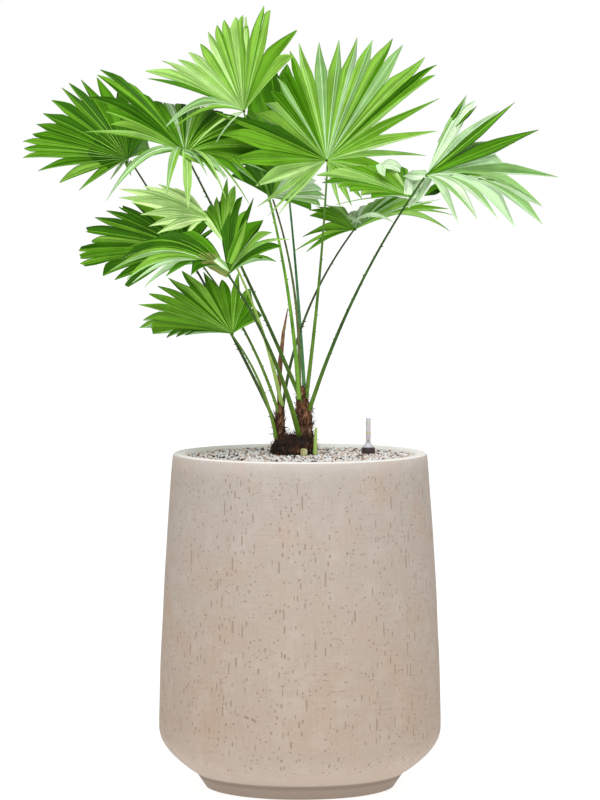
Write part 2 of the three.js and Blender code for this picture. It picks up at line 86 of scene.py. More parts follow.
class Graph:
    # a node tree; node() takes the type, its settings, and its sockets' values or links
    def __init__(self, tree):
        self.tree = tree

    def node(self, kind, settings=None, values=None, out=0):
        made = self.tree.nodes.new(kind)
        for name, value in (settings or {}).items():
            setattr(made, name, value)
        for name, value in (values or {}).items():
            if isinstance(value, Wire):
                self.tree.links.new(value.socket, made.inputs[name])
            else:
                made.inputs[name].default_value = value
        return Wire(self, made.outputs[out]) if len(made.outputs) else None

    def math(self, operation, *values):
        return self.node("ShaderNodeMath", {"operation": operation}, dict(enumerate(values)))

    def vector(self, operation, *values, out=0):
        settings = {"operation": operation}
        return self.node("ShaderNodeVectorMath", settings, dict(enumerate(values)), out)

    def scaled(self, vector, by):
        return self.node("ShaderNodeVectorMath", {"operation": "SCALE"}, {0: vector, "Scale": by})

    def combined(self, *values):
        return self.node("ShaderNodeCombineXYZ", None, dict(enumerate(values)))

    # for finishes
    def mix(self, factor, first, second):
        values = {0: factor, 6: first, 7: second}
        return self.node("ShaderNodeMix", {"data_type": "RGBA"}, values, out=2)

    def place(self):
        return self.node("ShaderNodeTexCoord", out="Object")

    def height(self):
        return self.node("ShaderNodeSeparateXYZ", None, {0: self.place()}, out=2)

    def stretched(self, scale):
        return self.node("ShaderNodeMapping", None, {"Vector": self.place(), "Scale": scale})

    def noise(self, vector, scale, detail=2, roughness=0.5):
        values = {"Vector": vector, "Scale": scale, "Detail": detail, "Roughness": roughness}
        return self.node("ShaderNodeTexNoise", None, values)

    def clamped(self, value, low, high):
        settings = {"clamp": True}
        return self.node("ShaderNodeMapRange", settings, {0: value, 1: low, 2: high})

    def bump(self, height, distance, strength=1):
        values = {"Height": height, "Distance": distance, "Strength": strength}
        return self.node("ShaderNodeBump", None, values)

    # for geometry
    def attribute(self, name, kind="FLOAT"):
        return self.node("GeometryNodeInputNamedAttribute", {"data_type": kind}, {0: name})

    def random(self, kind, low, high, seed):
        # the node has its own sockets for each kind of value
        first, out = {"FLOAT_VECTOR": (0, 0), "FLOAT": (2, 1), "INT": (4, 2)}[kind]
        values = {first: low, first + 1: high, "Seed": seed}
        return self.node("FunctionNodeRandomValue", {"data_type": kind}, values, out)

    def spread(self, points, instance, rotation, scale, chosen=True):
        return self.node("GeometryNodeInstanceOnPoints", None, {
            "Points": points, "Selection": chosen, "Instance": instance,
            "Rotation": rotation, "Scale": scale})

    def realized(self, instances):
        return self.node("GeometryNodeRealizeInstances", None, {"Geometry": instances})

    def shaken(self, geometry, scale, amount):
        # every point pushed about by noise
        turbulence = self.node("ShaderNodeTexNoise", None, {"Scale": scale, "Detail": 1}, out=1)
        push = self.scaled(self.vector("SUBTRACT", turbulence, (0.5, 0.5, 0.5)), amount)
        return self.node("GeometryNodeSetPosition", None, {"Geometry": geometry, "Offset": push})

    def painted(self, geometry, material, chosen=True):
        return self.node("GeometryNodeSetMaterial", None, {
            "Geometry": geometry, "Selection": chosen, "Material": material})


def makeMaterial(name, build):
    material = bpy.data.materials.new(name)
    material.use_nodes = True
    material.node_tree.nodes.clear()
    graph = Graph(material.node_tree)
    surface = graph.node("ShaderNodeBsdfPrincipled", None, build(graph))
    graph.node("ShaderNodeOutputMaterial", None, {"Surface": surface})
    return material


def makeObject(name, mesh, materials=()):
    made = bpy.data.objects.new(name, mesh)
    scene.collection.objects.link(made)
    for material in materials:
        mesh.materials.append(material)
    return made


def meshFrom(name, places, faces, scale=millimetre):
    mesh = bpy.data.meshes.new(name)
    mesh.from_pydata([Vector(p) * scale for p in places], [], faces)
    return mesh


def makeTree(name, inputs, build):
    # a geometry tree with named inputs; build gets the graph, the geometry and the inputs
    tree = bpy.data.node_groups.new(name, "GeometryNodeTree")
    tree.interface.new_socket("Geometry", in_out="OUTPUT", socket_type="NodeSocketGeometry")
    tree.interface.new_socket("Geometry", in_out="INPUT", socket_type="NodeSocketGeometry")
    for label, kind in inputs.items():
        tree.interface.new_socket(label, in_out="INPUT", socket_type="NodeSocket" + kind)
    graph = Graph(tree)
    entry = tree.nodes.new("NodeGroupInput")
    wires = {label: Wire(graph, entry.outputs[label]) for label in inputs}
    result = build(graph, Wire(graph, entry.outputs["Geometry"]), wires)
    graph.node("NodeGroupOutput", None, {"Geometry": result})
    return tree


def applyModifiers(holder):
    depsgraph = bpy.context.evaluated_depsgraph_get()
    holder.data = bpy.data.meshes.new_from_object(holder.evaluated_get(depsgraph))
    holder.modifiers.clear()
    return holder


def grow(name, source, tree, settings):
    # runs a geometry tree on a source mesh and keeps the result as a plain mesh
    holder = makeObject(name, source)
    modifier = holder.modifiers.new(tree.name, "NODES")
    modifier.node_group = tree
    for item in tree.interface.items_tree:
        if item.in_out == "INPUT" and item.name in settings:
            modifier[item.identifier] = settings[item.name]
    return applyModifiers(holder)


def smoothByAngle(mesh, degrees):
    mesh.polygons.foreach_set("use_smooth", [True] * len(mesh.polygons))
    mesh.set_sharp_from_angle(angle=math.radians(degrees))


def faceOutward(mesh):
    editing = bmesh.new()
    editing.from_mesh(mesh)
    bmesh.ops.recalc_face_normals(editing, faces=editing.faces)
    editing.to_mesh(mesh)
    editing.free()


def tubeFaces(rings, sides, closed=True):
    # faces between rings of points that were made in order, and one over each end
    faces = []
    for a in range(0, rings * sides, sides):
        b = a + sides
        for j in range(sides):
            after = (j + 1) % sides
            faces.append((a + j, a + after, b + after, b + j))
    if closed:
        faces.append(list(range(sides))[::-1])
        faces.append([rings * sides + j for j in range(sides)])
    return faces


def finishPiece(piece, slot, *nodes):
    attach(piece, "root")
    if nodes:
        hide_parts(*nodes)


# camera at the photograph's angle
cameraPlace = {"away": 7.0, "height": 1.1434, "down": 3.63, "lens": 175, "sensor": 36}
cameraData = bpy.data.cameras.new("camera")
cameraData.lens = cameraPlace["lens"]
cameraData.sensor_width = cameraPlace["sensor"]
cameraData.clip_end = 100
camera = bpy.data.objects.new("camera", cameraData)
camera.location = (0, -cameraPlace["away"], cameraPlace["height"])
camera.rotation_euler = (math.radians(90 - cameraPlace["down"]), 0, 0)
scene.collection.objects.link(camera)
scene.camera = camera


# leaf finishes, from the darkest green to the palest, then the dry ones
leafTones = {
    "deep": "1c4300", "dark": "356a02", "mid": "4d880a", "fresh": "69a222", "bright": "86ba42",
    "lime": "9ac864", "sage": "8fbb70", "mist": "b9d9a9", "pale": "b4d886", "cream": "d3eac4",
    # the tone after under is paler than any leaf's own green: painted light on leaflets in full light
    "under": "8cb676", "litPale": "d8f6a4", "olive": "8a9650", "brown": "4a3020",
}
leafNames = list(leafTones)
leafLook = {
    "dark": 0.64, "light": 1.2, "streaks": (9, 1.1, 0), "patches": 26, "mask": (0.44, 0.64),
    "roughness": 0.5, "shine": 0.09, "veins": 0.0002,
}


def leafMaterial(name):
    def build(graph):
        # fine streaks run along each leaflet, over broad soft patches
        along = graph.node("ShaderNodeUVMap", {"uv_map": "leaflet"})
        streaks = graph.noise(graph.vector("MULTIPLY", along, leafLook["streaks"]), 1, 3)
        patches = graph.noise(graph.place(), leafLook["patches"], 2)
        mask = graph.clamped(streaks * 0.85 + patches * 0.25, *leafLook["mask"])
        darker, lighter = (colour(leafTones[name], leafLook[key]) for key in ("dark", "light"))
        return {
            "Base Color": graph.mix(mask, darker, lighter),
            "Roughness": leafLook["roughness"],
            "Specular IOR Level": leafLook["shine"],
            "Normal": graph.bump(streaks, leafLook["veins"], 0.6),
        }

    return makeMaterial("leaf_" + name, build)


leafMaterials = [leafMaterial(name) for name in leafNames]


# fronds: hub, arch and leading leaflet tips as in the CAD source, each with its tone, the
# share of its length to the notch that follows it (0 takes the frond's own, with leaflets put
# in between) and its own arch; a fan may open with a wider end angle, and loose leaflets are
# given by their start, end, half width, tone, arch and the share of their width at the start
leaflet = {
    "angle": 11, "endAngle": 8, "thickness": 0.9, "pleat": 0.32, "start": 2.5, "knob": 2.6,
    "ribHalf": 1.05, "creaseHalf": 0.9, "bow": 0.03, "sag": 0.05, "twist": 0.35,
    "patternShift": (1.3, 0.37), "ribTaper": 0.6, "shorter": 0.92, "splitSpread": 0.06,
    "swell": 1.6, "taper": 2.4, "tip": 0.03, "trough": 0.3,
    "stations": (0, 0.06, 0.15, 0.26, 0.37, 0.47, 0.56, 0.64, 0.72, 0.8, 0.87, 0.93, 0.97, 1),
}
tips = {
    "acute": {"power": 1.05, "blunt": 0.03, "notch": 0},
    "lance": {"power": 1.5, "blunt": 0.07, "notch": 0},
    "blunt": {"power": 2.6, "blunt": 0.5, "notch": 0.012},
    "forked": {"power": 2.2, "blunt": 0.42, "notch": 0.05},
}
lighterTone = {
    "deep": "dark", "dark": "mid", "mid": "fresh", "fresh": "bright", "bright": "lime",
    "lime": "pale", "sage": "mist", "mist": "cream", "pale": "pale", "cream": "cream",
    "litPale": "litPale", "under": "mist", "olive": "olive",
}
darkerTone = {
    "deep": "deep", "dark": "deep", "mid": "dark", "fresh": "mid", "bright": "fresh",
    "lime": "bright", "sage": "bright", "mist": "sage", "pale": "lime", "cream": "mist",
    "litPale": "pale", "under": "under", "olive": "olive",
}
fronds = {
    "big": dict(hub=(48, 50, 1130), arch=0.02, split=0.62, tips="acute", under="sage",
                knob="brown", fans=[
        [(27, -60, -90, "lime", 0.5), (45, -70, -81, "bright", 0), (119, -60, -20, "bright", 0.49),
         (178, -45, 9, "lime", 0.42), (199, -35, 53, "lime", 0.47), (203, -20, 112, "fresh", 0.45),
         (196, -8, 154, "bright", 0.9), (200, 0, 173, "mid", 0.81), (178, 5, 187, "bright", 0.71),
         (138, 15, 209, "sage", 0.82), (120, 20, 221, "fresh", 0.83), (84, 30, 218, "sage", 0.77),
         (56, 40, 224, "sage", 0.72), (23, 45, 219, "sage", 0.71), (-13, 50, 215, "sage", 0.68),
         (-50, 50, 214, "lime", 0.77), (-67, 50, 200, "fresh", 0.85), (-81, 40, 161, "mid", 0.85),
         (-90, 30, 150, "sage", 0.85), (-101, 20, 126, "mid", 0.87),
         (-111, 0, 104, "bright", 0.85), (-132, -50, 84, "fresh", 0.56),
         (-199, -115, 87, "mid", 0.76), (-189, -125, 46, "fresh", 0.67),
         (-187, -130, 0, "fresh", 0), (-127, -100, -45, "pale", 0.54),
         (-125, -90, -82, "pale", 0.5), (-107, -85, -100, "lime", 0.5),
         (-87, -80, -97, "pale", 0.5)],
    ]),
    "top": dict(hub=(-100, -30, 1218), arch=0.03, split=0.72, tips="lance", under="sage",
                knob="brown", fans=[
        [(88, -60, 97, "bright", 0.74), (95, -40, 143, "fresh", 0.6),
         (47, -10, 180, "bright", 0.93), (36, -5, 188, "bright", 0.72), (7, 5, 152, "bright", 0.9),
         (-2, 20, 172, "bright", 0.93), (-15, 25, 169, "lime", 0.87),
         (-36, 35, 164, "bright", 0.86), (-49, 40, 155, "bright", 0.83),
         (-65, 50, 143, "pale", 0.73), (-79, 55, 122, "bright", 0.78),
         (-101, 60, 107, "pale", 0.76), (-119, 50, 93, "pale", 0.74), (-148, 40, 91, "pale", 0.77),
         (-177, 10, 72, "pale", 0.62), (-171, -15, 58, "mid", 0.42),
         (-138, -45, -28, "sage", 0.4, 0.17), (-125, -60, -32, "fresh", 0.4, 0.13)],
        [9, (-94, -80, -69, "pale", 0.3, 0.08)],
        [8, (-48, -90, -55, "mist", 0.3, 0.05)],
    ], loose=[
        ((3, 15, 169), (4, -15, 104), 4.5, "pale", 0.0),
    ]),
    "farleft": dict(hub=(-315, 120, 1133), arch=0.025, split=0.76, tips="acute lance",
                # inner: the leaflets darker near the hub, painted shade where the folds close up
                inner=("dark", 0.3), fans=[
        [(37, 100, 16, "mid", 0.7), (17, 130, 81, "dark", 0.7), (-23, 120, 131, "dark", 0.7),
         (-61, 105, 150, "mid", 0.68), (-90, 95, 146, "mid", 0.74), (-111, 75, 139, "mid", 0.72),
         (-124, 60, 131, "mid", 0.75), (-141, 40, 107, "mid", 0.77), (-156, 20, 83, "mid", 0.81),
         (-167, 10, 63, "mid", 0.87), (-174, 5, 46, "mid", 0.9), (-192, 0, 32, "fresh", 0.89),
         (-189, -5, 19, "fresh", 0.9), (-191, -10, 2, "fresh", 0.66),
         (-162, -25, -22, "fresh", 0.59), (-121, -45, -43, "fresh", 0.49),
         (-86, -60, -57, "fresh", 0.5)],
        [10, (-28, -80, -37, "sage", 0.4), (10, -85, -31, "sage", 0.4)],
    ]),
    "upperleft": dict(hub=(-205, -70, 1145), arch=0.06, split=0.6, tips="acute lance", fans=[
        [(42, -85, -41, "sage", 0.5, 0.1), (59, -90, -48, "mid", 0.5, 0.1),
         (73, -85, -45, "sage", 0.5, 0.1), (106, -60, -52, "mid", 0.6, 0.08),
         (138, -20, -63, "mid", 0.55, 0.1), (155, 40, -39, "fresh", 0.9, 0.05),
         (155, 70, -14, "mid", 0.9, 0.03), (137, 80, 8, "fresh", 0.9), (128, 85, 26, "mid", 0.9),
         (119, 90, 44, "mid", 0.9), (100, 95, 55, "fresh", 0.9), (82, 100, 64, "fresh", 0.9),
         (64, 103, 73, "mid", 0.9), (46, 105, 80, "fresh", 0.85), (15, 110, 84, "sage", 0.85),
         (-12, 115, 87, "mid", 0.85), (-39, 110, 89, "sage", 0.85), (-67, 90, 89, "fresh", 0.88),
         (-95, 80, 110, "mid", 0.9), (-123, 70, 130, "fresh", 0.9), (-153, 60, 148, "dark", 0.85),
         (-158, 50, 138, "mid", 0.61), (-170, 30, 97, "mid", 0.72), (-141, 15, 72, "fresh", 0.75),
         (-131, 5, 49, "fresh", 0.54), (-178, -10, 36, "bright", 0.5)],
        [7, (75, -105, -82, "lime", 0.4, 0.2)],
        [6, (115, -95, -89, "fresh", 0.4, 0.16)],
    ], loose=[
        ((-7, -3, 4), (-137, -60, -86), 7, "sage", 0.2, 0.5),
        ((-7, -2, 5), (-30, -90, -79), 7.5, "sage", 0.22, 0.5),
        ((4, -4, 4), (9, -105, -99), 8, "lime", 0.03, 0.9),
        ((-8, 0, 6), (-94, -40, -15), 6, "mist", 0.06, 0.5),
        ((-8, 0, 2), (37, -60, -24), 8, "sage", 0.05, 0.8),
        ((9, -2, 1), (78, -80, -45), 7, "lime", 0.06, 0.8),
    ]),
    "light": dict(hub=(-136, -110, 988), arch=0.03, split=0.7, tips="acute lance", under="lime",
                fans=[
        [(34, 50, 78, "mid", 0.75), (20, 60, 97, "bright", 0.75), (6, 65, 111, "fresh", 0.75),
         (-3, 65, 74, "fresh", 0.85), (-13, 60, 78, "bright", 0.85), (-26, 58, 62, "fresh", 0.85),
         (-42, 50, 51, "mid", 0.9)],
    ], loose=[
        # the loose leaflets beyond the fan take the palest tones, partly painted light where they
        # stand in full light
        ((1, 0, -1), (-49, 25, 60), 6, "litPale", 0.02),
        ((-31, 20, 44), (-87, 45, 94), 8, "litPale", 0.04),
        ((-29, 20, 44), (-117, 40, 101), 8, "pale", 0.04),
        ((-29, 20, 44), (-143, 35, 97), 9, "litPale", 0.05),
        ((-31, 18, 43), (-185, 15, 92), 10, "litPale", 0.05),
        ((-31, 16, 43), (-184, 0, 77), 10, "pale", 0.05),
        ((-31, 14, 41), (-164, -10, 69), 10, "litPale", 0.05),
        ((-31, 12, 41), (-146, -20, 47), 10, "pale", 0.06),
        ((-31, 11, 39), (-130, -30, 27), 9, "litPale", 0.06),
        ((-31, 10, 39), (-116, -40, 14), 9, "litPale", 0.06),
        ((-39, 5, 34), (-68, -50, 5), 4, "litPale", 0.1),
    ]),
    "midLeft": dict(hub=(-126, -216, 931), arch=0.19, split=0.74, tips="acute",
                # inner: the leaflets olive near the hub, painted shade where the folds close up
                angle=6, inner=("olive", 0.2), fans=[
        [(-56, 40, 61, "mid", 0.8), (-102, 35, 68, "mid", 0.8), (-140, 20, 56, "mid", 0),
         (-178, 5, 46, "mid", 0.85), (-186, -5, 27, "dark", 0), (-205, -15, 8, "sage", 0.7),
         (-175, -25, -7, "sage", 0.72), (-165, -35, -12, "mist", 0.66),
         (-144, -45, -20, "mist", 0.68), (-106, -55, 0, "mid", 0.7), (-62, -60, 2, "mid", 0.4)],
    ], loose=[
        ((-20, -38, 29), (4, -60, 8), 6, "mist", 0.05, 0.8),
        ((-1, 0, 1), (-46, -40, 23), 9, "olive", 0.1, 0.6),
    ]),
    "midRight": dict(hub=(-126, -215, 931), arch=0.05, split=0.62, tips="acute lance", fans=[
        [(60, -70, 30, "mid", 0.8), (85, -65, 25, "fresh", 0.62, 0.1),
         (93, -60, 51, "mid", 0.7, 0.08), (109, -50, 63, "lime", 0.55, 0.16),
         (78, -30, 75, "sage", 0.8, 0.1), (62, -10, 96, "dark", 0.72), (45, 5, 135, "dark", 0.7),
         (33, 10, 112, "fresh", 0.8), (23, 30, 126, "dark", 0.74), (3, 45, 110, "dark", 0.8),
         (-7, 50, 67, "dark", 0.8)],
    ], loose=[
        ((3, -20, 22), (34, -60, 99), 8, "fresh", 0.0, 0.6),
    ]),
    "left": dict(hub=(-203, 40, 969), arch=0.02, split=0.79, tips="blunt forked lance", fans=[
        [(35, 45, 17, "mid", 0.5), (44, 60, 35, "mid", 0.5), (39, 70, 51, "mid", 0.6),
         (-3, 70, 58, "dark", 0), (-52, 65, 80, "mid", 0.7), (-101, 50, 84, "mid", 0.71),
         (-123, 45, 77, "mid", 0.76), (-149, 35, 70, "mid", 0.77), (-169, 25, 58, "mid", 0.775),
         (-188, 10, 35, "mid", 0.85), (-174, 5, 16, "fresh", 0.88), (-198, -5, 1, "mid", 0.9),
         (-195, -15, -13, "mid", 0.88), (-194, -25, -28, "mid", 0), (-130, -45, -53, "mid", 0.75),
         (-107, -60, -66, "mid", 0.7)],
    ]),
    "low": dict(hub=(-121, -40, 821), arch=0.02, split=0.72, tips="acute lance", fans=[
        [(52, 60, 29, "fresh", 0.7), (30, 80, 77, "fresh", 0.6), (10, 90, 108, "fresh", 0.62),
         (-20, 95, 93, "fresh", 0.7), (-54, 100, 107, "fresh", 0.66),
         (-93, 95, 109, "fresh", 0.72), (-118, 90, 97, "fresh", 0.68),
         (-137, 80, 82, "fresh", 0.7), (-152, 65, 69, "fresh", 0.74),
         (-170, 45, 50, "fresh", 0.76), (-160, 10, 23, "fresh", 0.9),
         (-166, -20, 11, "fresh", 0.95), (-140, -60, 2, "fresh", 0), (-82, -110, 2, "mid", 0.9)],
    ]),
    "rightmid": dict(hub=(101, 130, 1004), arch=0.05, split=0.6, tips="acute", under="same", fans=[
        [(171, -85, -2, "lime", 0.6, 0.16), (181, -60, 26, "bright", 0.7, 0.1),
         (170, -40, 38, "bright", 0.7, 0.06), (155, -20, 55, "mist", 0.6),
         (142, -5, 49, "fresh", 0.85), (128, 10, 48, "lime", 0.85, 0.06),
         (114, 25, 52, "bright", 0.87), (102, 40, 55, "mist", 0.9), (89, 55, 57, "fresh", 0.9),
         (77, 70, 59, "mist", 0.9), (66, 84, 58, "bright", 0.9), (57, 95, 57, "mist", 0.9),
         (40, 105, 49, "lime", 0.88), (26, 115, 42, "cream", 0.88), (5, 114, 32, "mist", 0.85),
         (-14, 110, 23, "cream", 0.7), (-55, 70, 44, "bright", 0.7), (-71, 50, 41, "fresh", 0.8),
         (-84, 35, 35, "fresh", 0.8), (-83, 15, 25, "fresh", 0.5), (-96, -25, -13, "fresh", 0.5),
         (-111, -55, -38, "fresh", 0.6), (-90, -65, -40, "fresh", 0.6)],
    ], loose=[
        ((-6, -20, 12), (69, -95, 13), 5, "cream", 0.15),
        ((12, -5, 12), (-22, 40, 24), 4.5, "cream", 0.05),
    ]),
    "rightOuter": dict(hub=(224, -100, 1104), arch=0.03, split=0.5, tips="acute", under="mist",
                fans=[
        [8, (54, -85, -85, "mist", 0.53, 0.12), (86, -88, -75, "mist", 0.62, 0.13),
         (122, -85, -75, "mist", 0.67, 0.14), (153, -75, -90, "mist", 0.72, 0.15),
         (203, -60, -86, "mist", 0.87, 0.14), (202, -45, -54, "mist", 0.63, 0.1),
         (233, -15, -3, "mist", 0.75, 0.03), (143, 5, 13, "cream", 0.8),
         (158, 30, 58, "mist", 0.55), (131, 52, 115, "mist", 0.5), (89, 66, 133, "cream", 0.85),
         (74, 72, 143, "mist", 0.6)],
    ], loose=[
        # the next three loose leaflets are darker, painted shade in the fold under the pale sheet
        ((23, -20, -4), (97, -20, 1), 4.5, "mid", 0.02),
        ((49, -30, -15), (127, -25, -8), 4, "mid", 0.02),
        ((35, 10, -13), (-4, 5, -36), 9, "dark", 0.0, 0.6),
        ((0, 0, 0), (199, -5, 81), 12, "mid", 0.02),
        ((0, 0, 0), (157, 5, 130), 8.5, "mid", 0.0),
        ((1, 6, 1), (-41, 20, -1), 9, "cream", 0.0, 0.9),
        ((3, 12, -1), (-31, 30, -58), 11, "cream", 0.0, 0.85),
        ((-27, 14, -40), (-23, 26, 10), 14, "cream", 0.0, 0.8),
        ((53, 30, 86), (91, 35, 124), 3.5, "dark", 0.0),
        ((22, 40, 59), (73, 55, 143), 5, "mid", 0.0),
    ]),
    "rightInner": dict(hub=(195, -87, 1067), arch=0.04, split=0.74, tips="acute lance", fans=[
        [8, (-8, 40, 50, "fresh", 0.9), (-26, 32, 55, "mid", 0.9), (-42, 25, 57, "lime", 0.85),
         (-74, 20, 56, "fresh", 0.85), (-115, 10, 52, "bright", 0.85),
         (-166, -10, 37, "bright", 0.85), (-156, -25, 24, "mid", 0.85),
         (-128, -30, 16, "bright", 0.9), (-107, -35, 9, "bright", 0.88),
         (-87, -42, 2, "fresh", 0.88), (-68, -50, -3, "fresh", 0.6)],
        [3, (-132, -60, -14, "fresh", 0.4)],
    ], loose=[
        ((-17, 20, 48), (-58, -5, 52), 9, "cream", 0.15, 0.7),
        ((-55, -5, 57), (-45, -20, 35), 7, "mist", 0.0, 0.8),
    ]),
    "centre": dict(hub=(-52, 190, 1062), arch=0.03, split=0.74, tips="lance acute", under="same",
                fans=[
        [(-75, -40, 40, "dark", 0.85), (-45, -80, 66, "dark", 0.85), (-6, -105, 73, "dark", 0.85),
         (34, -105, 64, "fresh", 0.8), (52, -92, 55, "mist", 0.85), (67, -80, 47, "fresh", 0.8),
         (81, -60, 31, "cream", 0.85), (92, -40, 14, "mist", 0.85), (98, -25, 3, "sage", 0.85),
         (100, -10, -5, "cream", 0.85), (89, 12, -16, "sage", 0.85), (72, 35, -24, "mid", 0.8)],
    ]),
    "back": dict(hub=(-31, 300, 1140), arch=0.02, split=0.6, tips="lance", under="same", fans=[
        [(116, 40, -9, "mid", 0), (140, 45, 51, "mid", 0), (87, 35, 122, "mid", 0),
         (37, 22, 150, "dark", 0.8), (7, 15, 170, "mid", 0.8), (-29, 10, 189, "dark", 0.8),
         (-52, 28, 141, "mid", 0.8), (-82, 50, 47, "mid", 0), (-82, 50, -19, "mid", 0.8)],
    ]),
}


def fanLeaflets(rows, frond, rng):
    # every leaflet of a fan, spread evenly between the leading ones, as in the CAD source
    leading = []
    for x, y, z, tone, split, *own in rows:
        leading.append({"tip": Vector((x, y, z)), "arch": own[0] if own else frond["arch"],
                        "tone": tone, "split": split, "lead": True})
    out = []
    for start, end in zip(leading, leading[1:]):
        turn = start["tip"].angle(end["tip"])
        count = max(1, round(math.degrees(turn) / frond.get("angle", leaflet["angle"])))
        if start["split"]:
            count = 1
        axis = start["tip"].cross(end["tip"]).normalized()
        for j in range(count):
            share = j / count
            eased = share * share * (3 - 2 * share)
            tip = Matrix.Rotation(turn * share, 3, axis) @ start["tip"]
            length = start["tip"].length
            tip.length = length + (end["tip"].length - length) * eased
            if j:
                tip *= rng.uniform(leaflet["shorter"], 1)
            arch = start["arch"] + (end["arch"] - start["arch"]) * share
            tone = start["tone"] if rng.random() > share else end["tone"]
            spread = leaflet["splitSpread"]
            split = start["split"] or frond["split"] + rng.uniform(-spread, spread)
            out.append({"tip": tip, "arch": arch, "tone": tone, "split": split, "lead": j == 0})
    out.append(leading[-1])
    return out


def imagined(line, neighbour, axis, sign, angle):
    # the leaflet that would follow past an end of a fan, which sets how wide that end is
    way = line["tip"].cross(neighbour["tip"]) * -sign if neighbour else axis
    turn = Matrix.Rotation(sign * math.radians(angle), 3, way.normalized())
    return {"tip": turn @ line["tip"], "arch": line["arch"]}


class Blades:
    # gathers the closed thin leaflets of one frond
    def __init__(self):
        self.places, self.faces, self.tones, self.marks = [], [], [], []
        self.count = 0

    def face(self, corners, tone):
        self.faces.append(corners)
        self.tones.append(leafNames.index(tone))

    def blade(self, sections, tones, inner=None):
        # each section: rib point, edge vectors to the right and left, normal, share along;
        # inner is a darker tone near the hub, painted shade, and the share that it ends at
        first = len(self.places)
        self.count += 1
        half = leaflet["thickness"] / 2
        for rib, right, left, normal, along in sections:
            fine = leaflet["ribHalf"] * (1 - leaflet["ribTaper"] * along)
            row = []
            for edge, places in ((right, (1, 0.9, 0)), (left, (0, 0.9, 1))):
                wide = max(edge.length, 0.01)
                ribEdge = min(fine / wide, 0.3)
                creaseEdge = 1 - min(leaflet["creaseHalf"] / wide, 0.3)
                row += [edge * {1: 1, 0.9: creaseEdge, 0: ribEdge}[p] for p in places]
            top = [rib + offset + normal * half for offset in row]
            under = [rib + row[i] - normal * half for i in (0, 2, 3, 5)]
            self.places += top + under
            across = (0, 0.1, 0.45, 0.55, 0.9, 1, 0, 0.45, 0.55, 1)
            aside, onward = (self.count * shift for shift in leaflet["patternShift"])
            self.marks += [(aside + u, along + onward) for u in across]
        strips = (tones["crease"], tones["right"], tones["rib"], tones["left"], tones["crease"])
        for k in range(len(sections) - 1):
            a = first + 10 * k
            b = a + 10
            # near the hub both halves take the inner tone, painted shade
            near = inner and sections[k][4] < inner[1]
            for i, tone in enumerate(strips):
                shown = inner[0] if near and i in (1, 3) else tone
                self.face((a + i, b + i, b + i + 1, a + i + 1), shown)
            for i in (6, 7, 8):
                self.face((a + i, a + i + 1, b + i + 1, b + i), tones["under"])
            self.face((a, a + 6, b + 6, b), tones["right"])
            self.face((a + 5, b + 5, b + 9, a + 9), tones["left"])
        ring = (0, 1, 2, 3, 4, 5, 9, 8, 7, 6)
        self.face([first + i for i in ring], tones["right"])
        last = first + 10 * (len(sections) - 1)
        self.face([last + i for i in reversed(ring)], tones["right"])

    def knob(self, middle, radius, tone):
        # the small boss where the leaflets meet the stalk
        ball = bmesh.new()
        bmesh.ops.create_icosphere(ball, subdivisions=2, radius=radius)
        first = len(self.places)
        self.places += [middle + v.co for v in ball.verts]
        self.marks += [(0.5, 0)] * len(ball.verts)
        for face in ball.faces:
            self.face([first + v.index for v in face.verts], tone)
        ball.free()

    def finish(self, name):
        mesh = meshFrom(name, self.places, self.faces)
        mesh.polygons.foreach_set("material_index", self.tones)
        layer = mesh.uv_layers.new(name="leaflet")
        corners = [0] * len(mesh.loops)
        mesh.loops.foreach_get("vertex_index", corners)
        layer.uv.foreach_set("vector", [x for i in corners for x in self.marks[i]])
        smoothByAngle(mesh, 14)
        return makeObject(name, mesh, leafMaterials)


def growFan(body, hub, lines, axis, angle, frond, rng):
    last = len(lines) - 1
    row = [imagined(lines[0], lines[1] if last else None, axis, -1, angle), *lines,
           imagined(lines[last], lines[last - 1] if last else None, axis, 1, angle)]
    splits = [lines[0]["split"] or frond["split"]]
    splits += [line["split"] or frond["split"] for line in lines]
    styles = frond["tips"].split()

    def rib(k, share):
        # a point on leaflet k of the row, which has one imagined leaflet at each end
        tip = row[k]["tip"]
        start = leaflet["start"] / tip.length
        s = start + (1 - start) * share
        return hub + tip * s + up * (4 * s * (1 - s) * row[k]["arch"] * tip.length)

    def normal(k, share):
        k = min(max(k, 1), last + 1)
        ahead = rib(k, share + 0.02) - rib(k, share - 0.02)
        return ahead.cross(rib(k + 1, share) - rib(k - 1, share)).normalized()

    def fold(k, share):
        # the raised crease between leaflets k and k + 1 of the row
        width = (rib(k, share) - rib(k + 1, share)).length
        lifted = (normal(k, share) + normal(k + 1, share)).normalized()
        return (rib(k, share) + rib(k + 1, share)) * 0.5 + lifted * (leaflet["pleat"] * width)

    for i, line in enumerate(lines):
        style = tips[rng.choice(styles)]
        bow = rng.uniform(-leaflet["bow"], leaflet["bow"])
        sag = rng.uniform(0, leaflet["sag"]) * (not line["lead"])
        twist = rng.uniform(-leaflet["twist"], leaflet["twist"])
        length = line["tip"].length
        across = (fold(i + 1, 0.5) - fold(i, 0.5)).normalized()
        lower = min(splits[i], splits[i + 1])
        sections = []
        for share in leaflet["stations"]:
            end = share == leaflet["stations"][-1]
            reach = max(0, (share - lower) / (1 - lower))
            point = rib(i + 1, share - style["notch"] * end)
            point -= up * (sag * length * reach**2)
            point += across * (bow * length * reach * (1 - reach))
            facing = normal(i + 1, share)
            ahead = rib(i + 1, share + 0.02) - rib(i + 1, share - 0.02)
            edges = []
            for k in (i, i + 1):
                t = max(0, (share - splits[k]) / (1 - splits[k]))
                if t == 0:
                    edges.append(fold(k, share) - rib(i + 1, share))
                    continue
                width = 1 - (1 - style["blunt"]) * t ** style["power"]
                edge = (fold(k, splits[k]) - rib(i + 1, splits[k])) * width
                edge.rotate(Matrix.Rotation(twist * t, 3, ahead))
                edge += ahead.normalized() * (style["notch"] * end * length)
                edges.append(edge)
            sections.append((point, edges[0], edges[1], facing, share))
        body.blade(sections, dealTones(line["tone"], frond, rng), frond.get("inner"))


